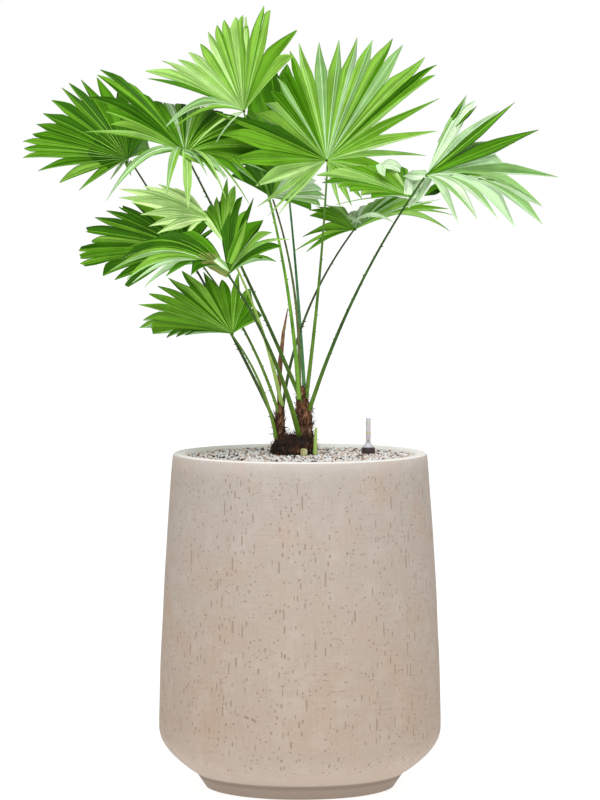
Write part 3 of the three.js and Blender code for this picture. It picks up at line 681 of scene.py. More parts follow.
def dealTones(tone, frond, rng):
    # the two halves of a leaflet often take a lighter or darker copy of its tone, painted light
    # and shade of the pleat's facets; its rib is a fine pale line, and the crease at each fold
    # is a painted highlight one time in three and a painted shade line otherwise
    light, shade = lighterTone[tone], darkerTone[tone]
    stripe = rng.random()
    under = frond.get("under", "under")
    return {
        "right": light if stripe < 0.2 else shade if stripe > 0.7 else tone,
        "left": light if stripe > 0.9 else shade if stripe < 0.3 else tone,
        "rib": lighterTone[light] if stripe > 0.4 else light,
        "crease": light if rng.random() < 0.35 else darkerTone[shade],
        "under": tone if under == "same" else under,
    }


def growLoose(body, hub, frond, rng, start, end, half, tone, arch, root=0.22):
    # one leaflet that is folded or curled away from the others
    start, end = Vector(start), Vector(end)
    chord = end - start
    side = chord.cross(Vector((0, 1, 0))).normalized() * half
    facing = chord.cross(side).normalized()
    sections = []
    for share in leaflet["stations"]:
        point = hub + start + chord * share + up * (4 * share * (1 - share) * arch * chord.length)
        wide = min(1, root + share * leaflet["swell"])
        wide *= min(1, leaflet["tip"] + (1 - share) * leaflet["taper"])
        lift = facing * (half * leaflet["trough"] * wide)
        sections.append((point, lift - side * wide, lift + side * wide, facing, share))
    body.blade(sections, dealTones(tone, frond, rng))


def growFrond(name, frond, seed):
    rng = random.Random(seed)
    hub = Vector(frond["hub"])
    fans = []
    for fan in frond["fans"]:
        angle, rows = (fan[0], fan[1:]) if isinstance(fan[0], int) else (leaflet["endAngle"], fan)
        fans.append((angle, rows))
    order = [Vector(row[:3]) for _, rows in fans for row in rows]
    body = Blades()
    index = 0
    for angle, rows in fans:
        axis = Vector()
        if index > 0:
            axis += order[index - 1].cross(order[index])
        if index + 1 < len(order):
            axis += order[index].cross(order[index + 1])
        growFan(body, hub, fanLeaflets(rows, frond, rng), axis, angle, frond, rng)
        index += len(rows)
    for extra in frond.get("loose", []):
        growLoose(body, hub, frond, rng, *extra)
    body.knob(hub, leaflet["knob"], frond.get("knob", "mid"))
    return body.finish(name)


frondNodes = {
    "midLeft": "mid_left", "midRight": "mid_right",
    "rightOuter": "right_outer", "rightInner": "right_inner",
}
for number, (frondName, frond) in enumerate(fronds.items()):
    piece = growFrond(frondName + "Frond", frond, 100 + number)
    finishPiece(piece, "leaf", "frond_" + frondNodes.get(frondName, frondName))
print("fronds:", len(fronds))


# stalk finishes: shade, light and the colour towards the foot
stalkTones = {
    "green": ("3f740c", "74a828", "90bc4a"),
    "pale": ("76943a", "accb62", "b0d070"),
    "dark": ("1f2b12", "3a541e", "56742c"),
    "leafy": ("365a0a", "5c861c", "7ca03a"),
    "forest": ("1d3a03", "3c6406", "6a9224"),
    "dusky": ("4a4a28", "6a7a3a", "7a8a4a"),
    "teal": ("2c6436", "56905a", "6a9a5a"),
}
stalkLook = {"streaks": (260, 260, 9), "blotches": 45, "mask": (0.38, 0.68), "rise": (0.68, 0.8)}


def stalkMaterial(name):
    shade, light, low = (colour(text) for text in stalkTones[name])

    def build(graph):
        # streaked and blotched, and paler towards the foot
        streaks = graph.noise(graph.stretched(stalkLook["streaks"]), 1, 3)
        blotches = graph.noise(graph.place(), stalkLook["blotches"], 2)
        mask = graph.clamped(streaks * 0.6 + blotches * 0.5, *stalkLook["mask"])
        rise = graph.clamped(graph.height(), *stalkLook["rise"])
        upper = graph.mix(mask, shade, light)
        return {
            "Base Color": graph.mix(rise, graph.mix(mask * 0.6, low, light), upper),
            "Roughness": 0.5,
            "Specular IOR Level": 0.3,
            "Normal": graph.bump(streaks, 0.0003, 0.6),
        }

    return makeMaterial("stalk_" + name, build)


stalkMaterials = {name: stalkMaterial(name) for name in stalkTones}


# petioles: base, middle and end as in the CAD source, the radius at both ends, the tone and
# how thorny each is
petiole = {
    "sides": 10, "steps": 26, "taper": 1.6, "thinning": 0.7,
    "spineGap": 0.005, "spineLength": 0.0046, "spineSizes": (0.6, 1.2), "spineWander": 0.7,
    "spineLean": 62, "spineShape": {"Vertices": 5, "Radius Bottom": 0.38, "Depth": 1.5},
}
petioles = {
    "big": ((11, 26, 700), (35, 36, 918), (50, 50, 1130), 4, 1.7, "leafy", 0.5),
    "top": ((-2, 16, 700), (-34, -3, 966), (-100, -30, 1215), 4.2, 1.7, "green", 0.4),
    "farleft": ((-42, 38, 650), (-169, 112, 894), (-310, 120, 1130), 3.4, 1.7, "dark", 0.3),
    "upperleft": ((3, 20, 696), (-99, -18, 927), (-205, -70, 1145), 4, 1.7, "forest", 0.5),
    "light": ((-33, 30, 686), (-74, -29, 844), (-135, -110, 985), 4.1, 1.7, "pale", 1),
    "mid": ((0, 22, 628), (-52, -83, 791), (-126, -215, 933), 5.3, 2, "forest", 0.4),
    "left": ((-39, 26, 676), (-105, 32, 831), (-200, 40, 970), 3.2, 1.7, "leafy", 0.4),
    "low": ((-43, 24, 628), (-73, -2, 731), (-123, -40, 820), 3.6, 1.7, "leafy", 0.5),
    "rightmid": ((-32, 38, 676), (11, 77, 849), (100, 130, 1005), 3.2, 1.7, "dark", 0.2),
    "right": ((17, 20, 680), (105, -30, 902), (220, -100, 1100), 4, 1.7, "forest", 0.8),
    "centre": ((-2, 32, 708), (-10, 92, 889), (-50, 190, 1058), 3.6, 1.7, "dusky", 0.4),
    "back": ((8, 36, 712), (-8, 195, 932), (-30, 300, 1150), 3.6, 1.7, "teal", 0.4),
}


def buildStalk(graph, source, given):
    # a tube along the line with its own radius, and thorns along both of its edges
    curve = graph.node("GeometryNodeMeshToCurve", None, {"Mesh": source})
    wide = graph.attribute("wide")
    ring = graph.node("GeometryNodeCurvePrimitiveCircle", None,
                      {"Resolution": given["Sides"], "Radius": 1})
    tube = graph.node("GeometryNodeCurveToMesh", None,
                      {"Curve": curve, "Profile Curve": ring, "Scale": wide, "Fill Caps": True})
    upright = graph.node("GeometryNodeSetCurveNormal", {"mode": "Z_UP"}, {"Curve": curve})
    points = graph.node("GeometryNodeCurveToPoints", {"mode": "LENGTH"},
                        {"Curve": upright, "Length": given["Spine gap"]})
    side = graph.math("MODULO", graph.node("GeometryNodeInputIndex"), 2) * math.pi
    wander = graph.random("FLOAT", -petiole["spineWander"], petiole["spineWander"], given["Seed"])
    spin = graph.node("FunctionNodeAxisAngleToRotation", None,
                      {"Axis": (0, 0, 1), "Angle": side + wander + given["Turn"]})
    facing = graph.node("FunctionNodeRotateRotation", {"rotation_space": "LOCAL"},
                        {0: points.output("Rotation"), 1: spin})
    thorn = graph.node("GeometryNodeMeshCone", None, petiole["spineShape"])
    lean = (0, math.radians(petiole["spineLean"]), 0)
    laid = graph.node("GeometryNodeTransform", None, {"Geometry": thorn, "Rotation": lean})
    size = graph.random("FLOAT", *petiole["spineSizes"], 4) * given["Spine length"]
    chosen = graph.random("FLOAT", 0.0, 1.0, 9) < graph.attribute("thorny")
    spines = graph.spread(points, laid, facing, graph.combined(size, size, size), chosen)
    moved = graph.node("GeometryNodeTranslateInstances", None, {
        "Instances": spines, "Translation": graph.combined(wide), "Local Space": True})
    joined = graph.node("GeometryNodeJoinGeometry", None, {"Geometry": moved})
    graph.tree.links.new(tube.socket, joined.socket.node.inputs["Geometry"])
    return graph.painted(graph.realized(joined), given["Material"])


stalkTree = makeTree("stalk", {
    "Sides": "Int", "Spine gap": "Float", "Spine length": "Float", "Turn": "Float",
    "Seed": "Int", "Material": "Material"}, buildStalk)


def pathMesh(name, points, radii, thorny):
    # a line of edges that carries its radius and its share of thorns at each point
    mesh = bpy.data.meshes.new(name)
    edges = [(i, i + 1) for i in range(len(points) - 1)]
    mesh.from_pydata([p * millimetre for p in points], edges, [])
    for label, values in (("wide", [r * millimetre for r in radii]), ("thorny", thorny)):
        mesh.attributes.new(label, "FLOAT", "POINT").data.foreach_set("value", values)
    return mesh


def bezier(start, middle, end, steps):
    bend = middle * 2 - (start + end) * 0.5
    out = []
    for i in range(steps + 1):
        t = i / steps
        out.append(start * (1 - t) ** 2 + bend * (2 * t * (1 - t)) + end * t**2)
    return out


for number, (stalkName, row) in enumerate(petioles.items()):
    *ends, radius, tip, tone, thorns = row
    points = bezier(*[Vector(end) for end in ends], petiole["steps"])
    shares = [i / petiole["steps"] for i in range(petiole["steps"] + 1)]
    radii = [tip + (radius - tip) * (1 - s) ** petiole["taper"] for s in shares]
    thorny = [thorns * (1 - s) ** petiole["thinning"] for s in shares]
    piece = grow(stalkName + "Petiole", pathMesh(stalkName, points, radii, thorny), stalkTree, {
        "Sides": petiole["sides"], "Spine gap": petiole["spineGap"],
        "Spine length": petiole["spineLength"], "Turn": math.pi / 2, "Seed": number,
        "Material": stalkMaterials[tone]})
    smoothByAngle(piece.data, 40)
    finishPiece(piece, "dark_stalk" if tone == "dark" else "stalk", "petiole_" + stalkName)
print("petioles:", len(petioles))


# wood and fibre finishes: shade, light and bright colours, and two darker ones for the foot
fibreLook = {
    "grain": (420, 420, 60), "patches": 60, "mask": (0.42, 0.66), "bright": (0.27, 0.42),
    "rise": (0.655, 0.685),
}


def fibreMaterial(name, shade, light, bright, low=None):
    def build(graph):
        strands = graph.noise(graph.stretched(fibreLook["grain"]), 1, 4, 0.7)
        patches = graph.noise(graph.place(), fibreLook["patches"], 3)
        mask = graph.clamped(strands, *fibreLook["mask"])
        tint = graph.mix(mask, colour(shade), colour(light))
        tint = graph.mix(graph.clamped(patches * strands, *fibreLook["bright"]), tint,
                         colour(bright))
        if low:
            # the lower part is as dark as the crown
            dark = graph.mix(mask, *(colour(text) for text in low))
            rise = graph.clamped(graph.height() + patches * 0.05, *fibreLook["rise"])
            tint = graph.mix(rise, dark, tint)
        return {"Base Color": tint, "Roughness": 0.85, "Normal": graph.bump(strands, 0.001, 0.8)}

    return makeMaterial(name, build)


barkMaterial = fibreMaterial("sheath", "5a3420", "b07a54", "dcb090", ("160a04", "4a2c16"))
crownMaterial = fibreMaterial("fibreMat", "0e0602", "2e190b", "5e3a1c")
strandMaterial = fibreMaterial("strands", "2c170c", "6a4024", "a87a50")


# the two stems, given by x, y, z and radius from the flared foot up
foot = 600.3
stem = {"sides": 48, "steps": 90, "seed": 3.1, "lumps": 0.16, "ridges": 0.3, "sheaths": 0.14,
        "sheathLength": 15, "sunk": 0.2}
stems = {
    "left": [(-34, 30, foot, 15), (-35, 30, 616, 11), (-36, 30, 650, 9.2), (-37, 30, 680, 7.2),
             (-35.5, 30, 695, 3.4)],
    "right": [(5, 28, foot, 22), (8, 28, 618, 15), (10, 28, 650, 12.5), (6, 28, 680, 14),
              (2, 28, 708, 9), (2, 28, 722, 6)],
}


def stemMesh(name, rows, seed):
    # lumpy, ridged along its length, with the edges of old sheaths wound round it
    places, sides, steps = [], stem["sides"], stem["steps"]
    for i in range(steps + 1):
        share = i / steps * (len(rows) - 1)
        low = min(int(share), len(rows) - 2)
        mid = Vector(rows[low]).lerp(Vector(rows[low + 1]), share - low)
        for j in range(sides):
            angle = 2 * math.pi * j / sides
            way = Vector((math.cos(angle), math.sin(angle), 0))
            twist = Vector((way.x * 2.2, way.y * 2.2, mid.z * 0.03 + seed))
            lump = noise.noise(twist) * stem["lumps"]
            ridge = abs(noise.noise(Vector((angle * 4.5, mid.z * 0.045, seed)))) * stem["ridges"]
            turn = (mid.z + 9 * math.sin(angle + seed)) / stem["sheathLength"]
            relief = lump + ridge + turn % 1 * stem["sheaths"] - stem["sunk"]
            radius = mid[3] * (1 + relief)
            places.append((mid.x + way.x * radius, mid.y + way.y * radius, mid.z))
    mesh = meshFrom(name, places, tubeFaces(steps, sides))
    smoothByAngle(mesh, 50)
    return mesh


# loose strands: how many to a square metre, how long, how far they stand off, and the finish
strand = {
    "shape": {"Vertices": 3, "Side Segments": 4, "Radius Bottom": 0.045, "Radius Top": 0.008,
              "Depth": 1},
    "sizes": (0.35, 1.3), "wild": ((-0.9, -0.9, -0.5), (0.9, 0.9, 1.7)), "bend": (90, 0.007),
}
stemHair = {
    "Fibres": (60000.0, 0.013, 0.12, strandMaterial),
    "Wraps": (50000.0, 0.013, 0.2, crownMaterial),
}
crownHair = {
    "Strands": (42000.0, 0.013, 0.14, strandMaterial),
    "Fibres": (52000.0, 0.011, 0.4, crownMaterial),
}


def buildStrands(graph, source, given):
    # fibres that lie close to a surface, turned at random and bent by noise
    points = graph.node("GeometryNodeDistributePointsOnFaces", None, {
        "Mesh": source, "Density": given["Density"], "Seed": given["Seed"]})
    normal = points.output("Normal")
    wild = graph.random("FLOAT_VECTOR", *strand["wild"], 3)
    depth = graph.vector("DOT_PRODUCT", wild, normal, out=1)
    way = graph.vector("ADD", graph.scaled(normal, given["Stand"] - depth), wild)
    facing = graph.node("FunctionNodeAlignRotationToVector", {"axis": "Z"}, {"Vector": way})
    cone = graph.node("GeometryNodeMeshCone", None, strand["shape"])
    size = graph.random("FLOAT", *strand["sizes"], 5) * given["Length"]
    spread = graph.spread(points, cone, facing, graph.combined(size, size, size))
    return graph.painted(graph.shaken(graph.realized(spread), *strand["bend"]),
                         given["Material"])


strandTree = makeTree("strands", {
    "Density": "Float", "Length": "Float", "Stand": "Float", "Seed": "Int",
    "Material": "Material"}, buildStrands)


def addHair(name, skin, look, seed):
    settings = dict(zip(("Density", "Length", "Stand", "Material"), look))
    hair = grow(name, skin.copy(), strandTree, {**settings, "Seed": seed})
    faceOutward(hair.data)
    finishPiece(hair, "fibre")


for number, (stemName, rows) in enumerate(stems.items()):
    mesh = stemMesh(stemName + "Stem", rows, stem["seed"] + number)
    for hairName, look in stemHair.items():
        addHair(stemName + "Stem" + hairName, mesh, look, number)
    piece = makeObject(stemName + "Stem", mesh, [barkMaterial])
    finishPiece(piece, "bark", stemName + "_stem")


# the matted crown that both stems stand in; its outline is height and radius, as shares
crown = {
    "middle": (-12, 29), "half": (39, 31, 33), "rings": 22, "sides": 72, "lump": 0.14,
    "outline": [(0, 1.0), (0.3, 0.98), (0.62, 0.86), (0.88, 0.6), (1, 0.28)],
    "seeds": {"Strands": 9, "Fibres": 7},
}


def crownMesh():
    places, sides, rings, outline = [], crown["sides"], crown["rings"], crown["outline"]
    for i in range(rings + 1):
        height = i / rings
        low = next(k for k in range(len(outline) - 1) if height <= outline[k + 1][0])
        (h0, r0), (h1, r1) = outline[low], outline[low + 1]
        radius = r0 + (r1 - r0) * (height - h0) / (h1 - h0)
        for j in range(sides):
            angle = 2 * math.pi * j / sides
            way = Vector((math.cos(angle), math.sin(angle), height * 0.9))
            lump = 1 + noise.fractal(way * 3.2, 0.7, 2.2, 4) * crown["lump"]
            x, y = (crown["middle"][k] + crown["half"][k] * way[k] * radius * lump
                    for k in (0, 1))
            places.append((x, y, foot + crown["half"][2] * height * (0.93 + 0.07 * lump)))
    mesh = meshFrom("rootCrown", places, tubeFaces(rings, sides))
    smoothByAngle(mesh, 60)
    return mesh


crownBody = crownMesh()
for hairName, look in crownHair.items():
    addHair("rootCrown" + hairName, crownBody, look, crown["seeds"][hairName])
finishPiece(makeObject("rootCrown", crownBody, [crownMaterial]), "fibre", "root_crown")
print("stems and crown")


# small plain limbs, given by x, y, z and radius: the unopened leaf and two old leaf bases
def smallLimb(name, slot, node, material, rows):
    stops = [Vector(row) for row in rows]
    fine = [a.lerp(b, k / 6) for a, b in zip(stops, stops[1:]) for k in range(6)] + [stops[-1]]
    path = pathMesh(name, [row.xyz for row in fine], [row.w for row in fine], [0.0] * len(fine))
    piece = grow(name, path, stalkTree, {
        "Sides": 10, "Spine gap": 0.01, "Spine length": 0.002, "Turn": 0.0, "Seed": 1,
        "Material": material})
    smoothByAngle(piece.data, 40)
    finishPiece(piece, slot, node)


smallLimb("spearLeaf", "young_leaf", "spear_leaf",
          fibreMaterial("youngLeaf", "6a3c28", "9a6a48", "8a8a4a"),
          [(-38, 28, 684, 3), (-38, 28, 720, 4), (-36, 28, 763, 4.5), (-30, 27, 820, 3),
           (-22, 25, 864, 0.8)])
smallLimb("greenStub", "stalk", "green_stub", stalkMaterials["pale"],
          [(27, 13, foot, 4.4), (28, 12, 628, 3.2), (29, 11, 648, 2.4)])
smallLimb("cutStub", "cut_wood", "cut_stub",
          fibreMaterial("cutWood", "a39a5c", "d6d0a0", "ece8c8"),
          [(7, -10, foot, 6.5), (7, -11, foot + 6, 6.5), (7, -12, foot + 11, 5.5)])


# the pot: radius and height of the foot and of the turn to the belly as in the CAD source;
# each scar has its place along the wall, height, tilt, depth, half width and half length
pot = {
    "height": 604, "bellyRadius": 255.7, "bellyHeight": 109, "rimRadius": 229.5, "rimWall": 25,
    "outerRound": 5, "innerRound": 10, "roundSteps": 6, "soil": 570, "sides": 176, "wave": 0.8,
    "lean": (0.44, 0.56), "wallRows": (122, 594, 13), "turnSteps": 5,
    "foot": [(0, 0), (80, 0), (168, 0), (171, 1), (172.6, 3.5), (179, 13), (185, 22),
             (186.5, 24)],
    "turn": [(165, 14), (187.5, 26), (211, 42), (235, 64), (250, 86), (255.7, 109), (256, 132)],
}
gouge = {
    "slots": 760, "pits": 2300, "columns": 90, "wallRound": 240, "heights": (52, 582), "tries": 40,
    "inColumn": 0.6, "drift": 0.02, "shortShare": 0.8, "short": (2, 6), "long": (6, 14),
    "slotWidth": (0.9, 1.9), "slotDepth": (0.5, 0.8), "pitHalf": (0.7, 1.9),
    "pitWidth": (0.8, 1.6), "pitDepth": (0.45, 0.75), "tilt": 0.05, "above": 2, "beside": 5,
    "lens": (0.7, 0.6, 0.45), "proud": 0.1,
    "scars": [(-468, 157, 1.25, 1.3, 2.2, 5), (-455, 152, 1.0, 1.1, 2.4, 5.5),
              (-322, 203, 1.57, 0.5, 0.6, 8), (-304, 204, 1.56, 0.45, 0.6, 7),
              (-318, 296, 1.55, 0.5, 0.6, 9), (-334, 224, 1.58, 0.45, 0.6, 6),
              (-366, 288, 1.57, 0.45, 0.6, 6), (-400, 236, 1.53, 0.45, 0.5, 7)],
}


def wallRadius(height):
    rise = (height - pot["bellyHeight"]) / (pot["height"] - pot["bellyHeight"])
    lean = pot["lean"][0] * rise + pot["lean"][1] * rise * rise
    return pot["bellyRadius"] - (pot["bellyRadius"] - pot["rimRadius"]) * lean


def potProfile():
    out = list(pot["foot"])
    # the turn from the foot up to the belly, as a smooth line through its points
    turn = [Vector(point) for point in pot["turn"]]
    for before, start, end, after in zip(turn, turn[1:], turn[2:], turn[3:]):
        for i in range(pot["turnSteps"]):
            t = i / pot["turnSteps"]
            bend = (start * 2 + (end - before) * t + (before * 2 - start * 5 + end * 4 - after) * t**2
                    + (start * 3 - before - end * 3 + after) * t**3)
            out.append(tuple(bend * 0.5))
    out += [(wallRadius(height), height) for height in range(*pot["wallRows"])]
    # the lip: a small round outside, a level top and a wider round inside
    inner = pot["rimRadius"] - pot["rimWall"]
    angles = [math.pi / 2 * i / pot["roundSteps"] for i in range(pot["roundSteps"] + 1)]
    cuts = [(1 - math.cos(angle), 1 - math.sin(angle)) for angle in angles]
    out += [(pot["rimRadius"] - pot["outerRound"] * a, pot["height"] - pot["outerRound"] * b)
            for a, b in cuts]
    out += [(inner + pot["innerRound"] * b, pot["height"] - pot["innerRound"] * a)
            for a, b in cuts]
    return out + [(inner, 582), (inner, pot["soil"]), (100, pot["soil"]), (0, pot["soil"])]


def turned(name, profile, sides, wave=None):
    # a closed shape turned round the upright axis; a radius of 0 gives a single point
    places, faces, rings = [], [], []
    for radius, height in profile:
        if radius == 0:
            rings.append([len(places)] * sides)
            places.append((0, 0, height))
            continue
        rings.append(list(range(len(places), len(places) + sides)))
        for j in range(sides):
            angle = 2 * math.pi * j / sides
            way = Vector((math.cos(angle), math.sin(angle), 0))
            out = radius + (wave(way, height) if wave else 0)
            places.append((way.x * out, way.y * out, height))
    for low, high in zip(rings, rings[1:]):
        for j in range(sides):
            after = (j + 1) % sides
            faces.append(list(dict.fromkeys((low[j], low[after], high[after], high[j]))))
    return meshFrom(name, places, faces)


def buildGouges(graph, source, given):
    # one lens-shaped cutter at each point, turned to the wall and scaled by its own size
    ball = graph.node("GeometryNodeMeshIcoSphere", None,
                      {"Radius": 1, "Subdivisions": given["Detail"]})
    place = graph.node("GeometryNodeInputPosition")
    blunt = graph.vector("POWER", graph.vector("ABSOLUTE", place), gouge["lens"])
    signed = graph.vector("MULTIPLY", blunt, graph.vector("SIGN", place))
    lens = graph.node("GeometryNodeSetPosition", None, {"Geometry": ball, "Position": signed})
    points = graph.node("GeometryNodeMeshToPoints", None, {"Mesh": source})
    turn = graph.attribute("turn", "FLOAT_VECTOR")
    facing = graph.node("FunctionNodeEulerToRotation", None, {0: turn})
    size = graph.attribute("size", "FLOAT_VECTOR")
    spread = graph.spread(points, lens, facing, size)
    return graph.painted(graph.realized(spread), given["Material"])


# concrete: the low and high colours, then layers in order, each with its colour and strength
potLook = {
    "low": "b5a392", "high": "b3a89e", "recessShade": ("8a7564", 0.52),
    "layers": {
        "warm": ("b89d86", 0.45), "patch": ("d6cec6", 0.2), "hairline": ("7f6c5c", 0.1),
        "glint": ("e4dcd3", 0.14), "pore": ("86725f", 0.16), "bellyReflection": ("d4ccc6", 0.2),
        "underRim": ("fcf8f4", 0.22), "rimTopHighlight": ("fcf8f4", 1), "innerWallLight": ("fcf8f4", 0.8),
        "foot": ("9d8d80", 1), "footShadowLine": ("5e5046", 0.45),
    },
}


def concreteMaterial(name, deep):
    def build(graph):
        # rosy low down and greyer above, blotched, grainy and with faint hairlines both ways;
        # with painted light and shade: a reflection low on the belly, a highlight on the lip's
        # top, a paler inside wall and a shadow line where the foot meets the belly
        place, height = graph.place(), graph.height()
        cloud = graph.noise(place, 9, 4, 0.6)
        patch = graph.noise(place, 26, 4, 0.65)
        grain = graph.noise(place, 240, 4, 0.75)
        upright = graph.noise(graph.stretched((330, 330, 9)), 1, 2)
        level = graph.noise(graph.stretched((12, 12, 460)), 1, 2)
        worn = graph.clamped(graph.noise(place, 14, 3), 0.42, 0.62)
        strokes = level * worn + upright * (1 - worn)
        underRim = graph.clamped(height, 0.565, 0.604)
        away = graph.vector("LENGTH", graph.vector("MULTIPLY", place, (1, 1, 0)), out=1)
        masks = {
            "warm": graph.clamped(cloud, 0.5, 0.68),
            "patch": graph.clamped(patch, 0.5, 0.75),
            "hairline": graph.clamped(strokes, 0.5, 0.36),
            "glint": graph.clamped(grain, 0.56, 0.7),
            "pore": graph.clamped(grain, 0.44, 0.32),
            # a pale band low on the belly: painted reflection of the bright floor
            "bellyReflection": graph.clamped(height * -1 + 0.13, 0, 0.07),
            "underRim": underRim * underRim,
            # the level top of the lip painted near white: a painted highlight where the light falls
            # on it
            "rimTopHighlight": graph.clamped(height, 0.6012, 0.6034),
            # the inside wall painted paler: painted light over its shade and the green light thrown
            # off the leaves
            "innerWallLight": (away < 0.216) * (height > 0.5),
            "foot": graph.clamped(height, 0.0262, 0.022),
            # a dark line where the foot meets the belly: a painted shadow under the overhang
            "footShadowLine": (graph.clamped(height, 0.029, 0.0255)
                           * graph.clamped(height, 0.016, 0.0235)),
        }
        rise = graph.clamped(height + cloud * 0.3, 0.2, 0.7)
        tint = graph.mix(rise, colour(potLook["low"]), colour(potLook["high"]))
        for layer, (shade, strength) in potLook["layers"].items():
            tint = graph.mix(masks[layer] * strength, tint, colour(shade))
        # the faces cut by the slots and pits take a darker tint, painted shade in the recesses
        if deep:
            shade, strength = potLook["recessShade"]
            tint = graph.mix(strength, tint, colour(shade))
        relief = grain * 0.6 + strokes * 0.6 + patch * 1.6
        return {"Base Color": tint, "Roughness": 0.85, "Specular IOR Level": 0.25,
                "Normal": graph.bump(relief, 0.0013, 0.8)}

    return makeMaterial(name, build)


def wallWave(way, height):
    # how far the hand-made wall strays from a true turned shape
    return pot["wave"] * noise.noise(way * 1.7 + up * (height / 90))


potRows = potProfile()


def skinRadius(height):
    # the radius of the pot's outer face at this height, first met on the way up
    for (r0, h0), (r1, h1) in zip(potRows, potRows[1:]):
        if h0 <= height <= h1 and h1 > h0:
            return r0 + (r1 - r0) * (height - h0) / (h1 - h0)
    return gouge["wallRound"]


def gouges():
    # where the slots and pits go: slots keep to loose columns, and no two touch
    rng = random.Random(41)
    columns = [rng.uniform(0, 2 * math.pi) for _ in range(gouge["columns"])]
    found = [(along, height, half) for along, height, _, _, _, half in gouge["scars"]]
    slots = [(along, height, (deep, wide, half), (tilt, 0, along / gouge["wallRound"]))
             for along, height, tilt, deep, wide, half in gouge["scars"]]
    pits = []
    for kept, count in ((slots, gouge["slots"]), (pits, gouge["pits"])):
        for _ in range(count):
            for _ in range(gouge["tries"]):
                angle, height = rng.uniform(0, 2 * math.pi), rng.uniform(*gouge["heights"])
                if kept is slots:
                    if rng.random() < gouge["inColumn"]:
                        angle = rng.choice(columns) + rng.gauss(0, gouge["drift"])
                    reach = gouge["short" if rng.random() < gouge["shortShare"] else "long"]
                    half = rng.uniform(*reach)
                    wide, deep = rng.uniform(*gouge["slotWidth"]), rng.uniform(*gouge["slotDepth"])
                else:
                    half = rng.uniform(*gouge["pitHalf"])
                    wide = half * rng.uniform(*gouge["pitWidth"])
                    deep = rng.uniform(*gouge["pitDepth"])
                along = angle * gouge["wallRound"]
                # long slots keep off the turn at the foot, and all keep off the lip
                inside = max(50, 100 - 300 / half) < height - half and height + half < 584
                if inside and all(abs(h - height) > half + k + gouge["above"]
                                  or abs(a - along) > gouge["beside"] for a, h, k in found):
                    found.append((along, height, half))
                    lean = math.atan((skinRadius(height - 2) - skinRadius(height + 2)) / 4)
                    turn = (rng.uniform(-gouge["tilt"], gouge["tilt"]), -lean, angle)
                    kept.append((along, height, (deep, wide, half), turn))
                    break
    return slots, pits


def gougePoints(name, rows):
    # one point for each gouge, with its size and turn
    places = []
    for along, height, _, _ in rows:
        angle = along / gouge["wallRound"]
        way = Vector((math.cos(angle), math.sin(angle), 0))
        radius = skinRadius(height) + wallWave(way, height) + gouge["proud"]
        places.append(way * radius + up * height)
    mesh = meshFrom(name, places, [])
    sizes = [value * millimetre for row in rows for value in row[2]]
    turns = [value for row in rows for value in row[3]]
    for label, values in (("size", sizes), ("turn", turns)):
        mesh.attributes.new(label, "FLOAT_VECTOR", "POINT").data.foreach_set("vector", values)
    return mesh


recessShadeMaterial = concreteMaterial("concreteRecessShade", True)
potBody = makeObject("potBody", turned("potBody", potRows, pot["sides"], wallWave),
                     [concreteMaterial("concrete", False), recessShadeMaterial])
gougeTree = makeTree("gouges", {"Detail": "Int", "Material": "Material"}, buildGouges)
for number, rows in enumerate(gouges()):
    cutters = grow("gouges", gougePoints("gougePoints", rows), gougeTree,
                   {"Detail": 2 - number, "Material": recessShadeMaterial})
    carve = potBody.modifiers.new("carve", "BOOLEAN")
    carve.object = cutters
    carve.solver = "MANIFOLD"
    carve.operation = "DIFFERENCE"
    applyModifiers(potBody)
    bpy.data.objects.remove(cutters)
smoothByAngle(potBody.data, 30)
finishPiece(potBody, "concrete", "pot")
print("pot:", len(potBody.data.polygons))


# the gravel: a rough bed, and stones scattered on it
gravel = {
    "top": 597.2, "dip": 2.2, "distance": 0.0053, "density": 150000.0, "size": 0.0033,
    "stone": ((0.75, 0.65, 0.6), (1.35, 1.15, 1.0)), "lift": (-0.0008, 0.0005),
    "chipping": (420, 0.0022), "scatterRadius": 202.2, "roughness": 0.8,
    "tones": ["ffffff", "fbf8f4", "f2e6dc", "ead6ca", "e2ecf2", "f8fafc", "cdc1bc", "fbf8f4",
              "6a5a5a", "3a2f30", "b8947e", "f6f0ea", "f2e0d4"],
    "bed": [(0, 571), (203.8, 571), (203.8, 595.8), (120, 595.2), (0, 595.2)],
}


def stoneMaterial(text):
    def build(graph):
        speck = graph.noise(graph.place(), 900, 2)
        mask = graph.clamped(speck, 0.35, 0.65)
        return {
            "Base Color": graph.mix(mask, colour(text, 0.75), colour(text, 1.1)),
            "Roughness": 0.75,
            "Normal": graph.bump(speck, 0.0003, 0.6),
        }

    return makeMaterial("stone_" + text, build)


stoneMaterials = [stoneMaterial(text) for text in gravel["tones"]]


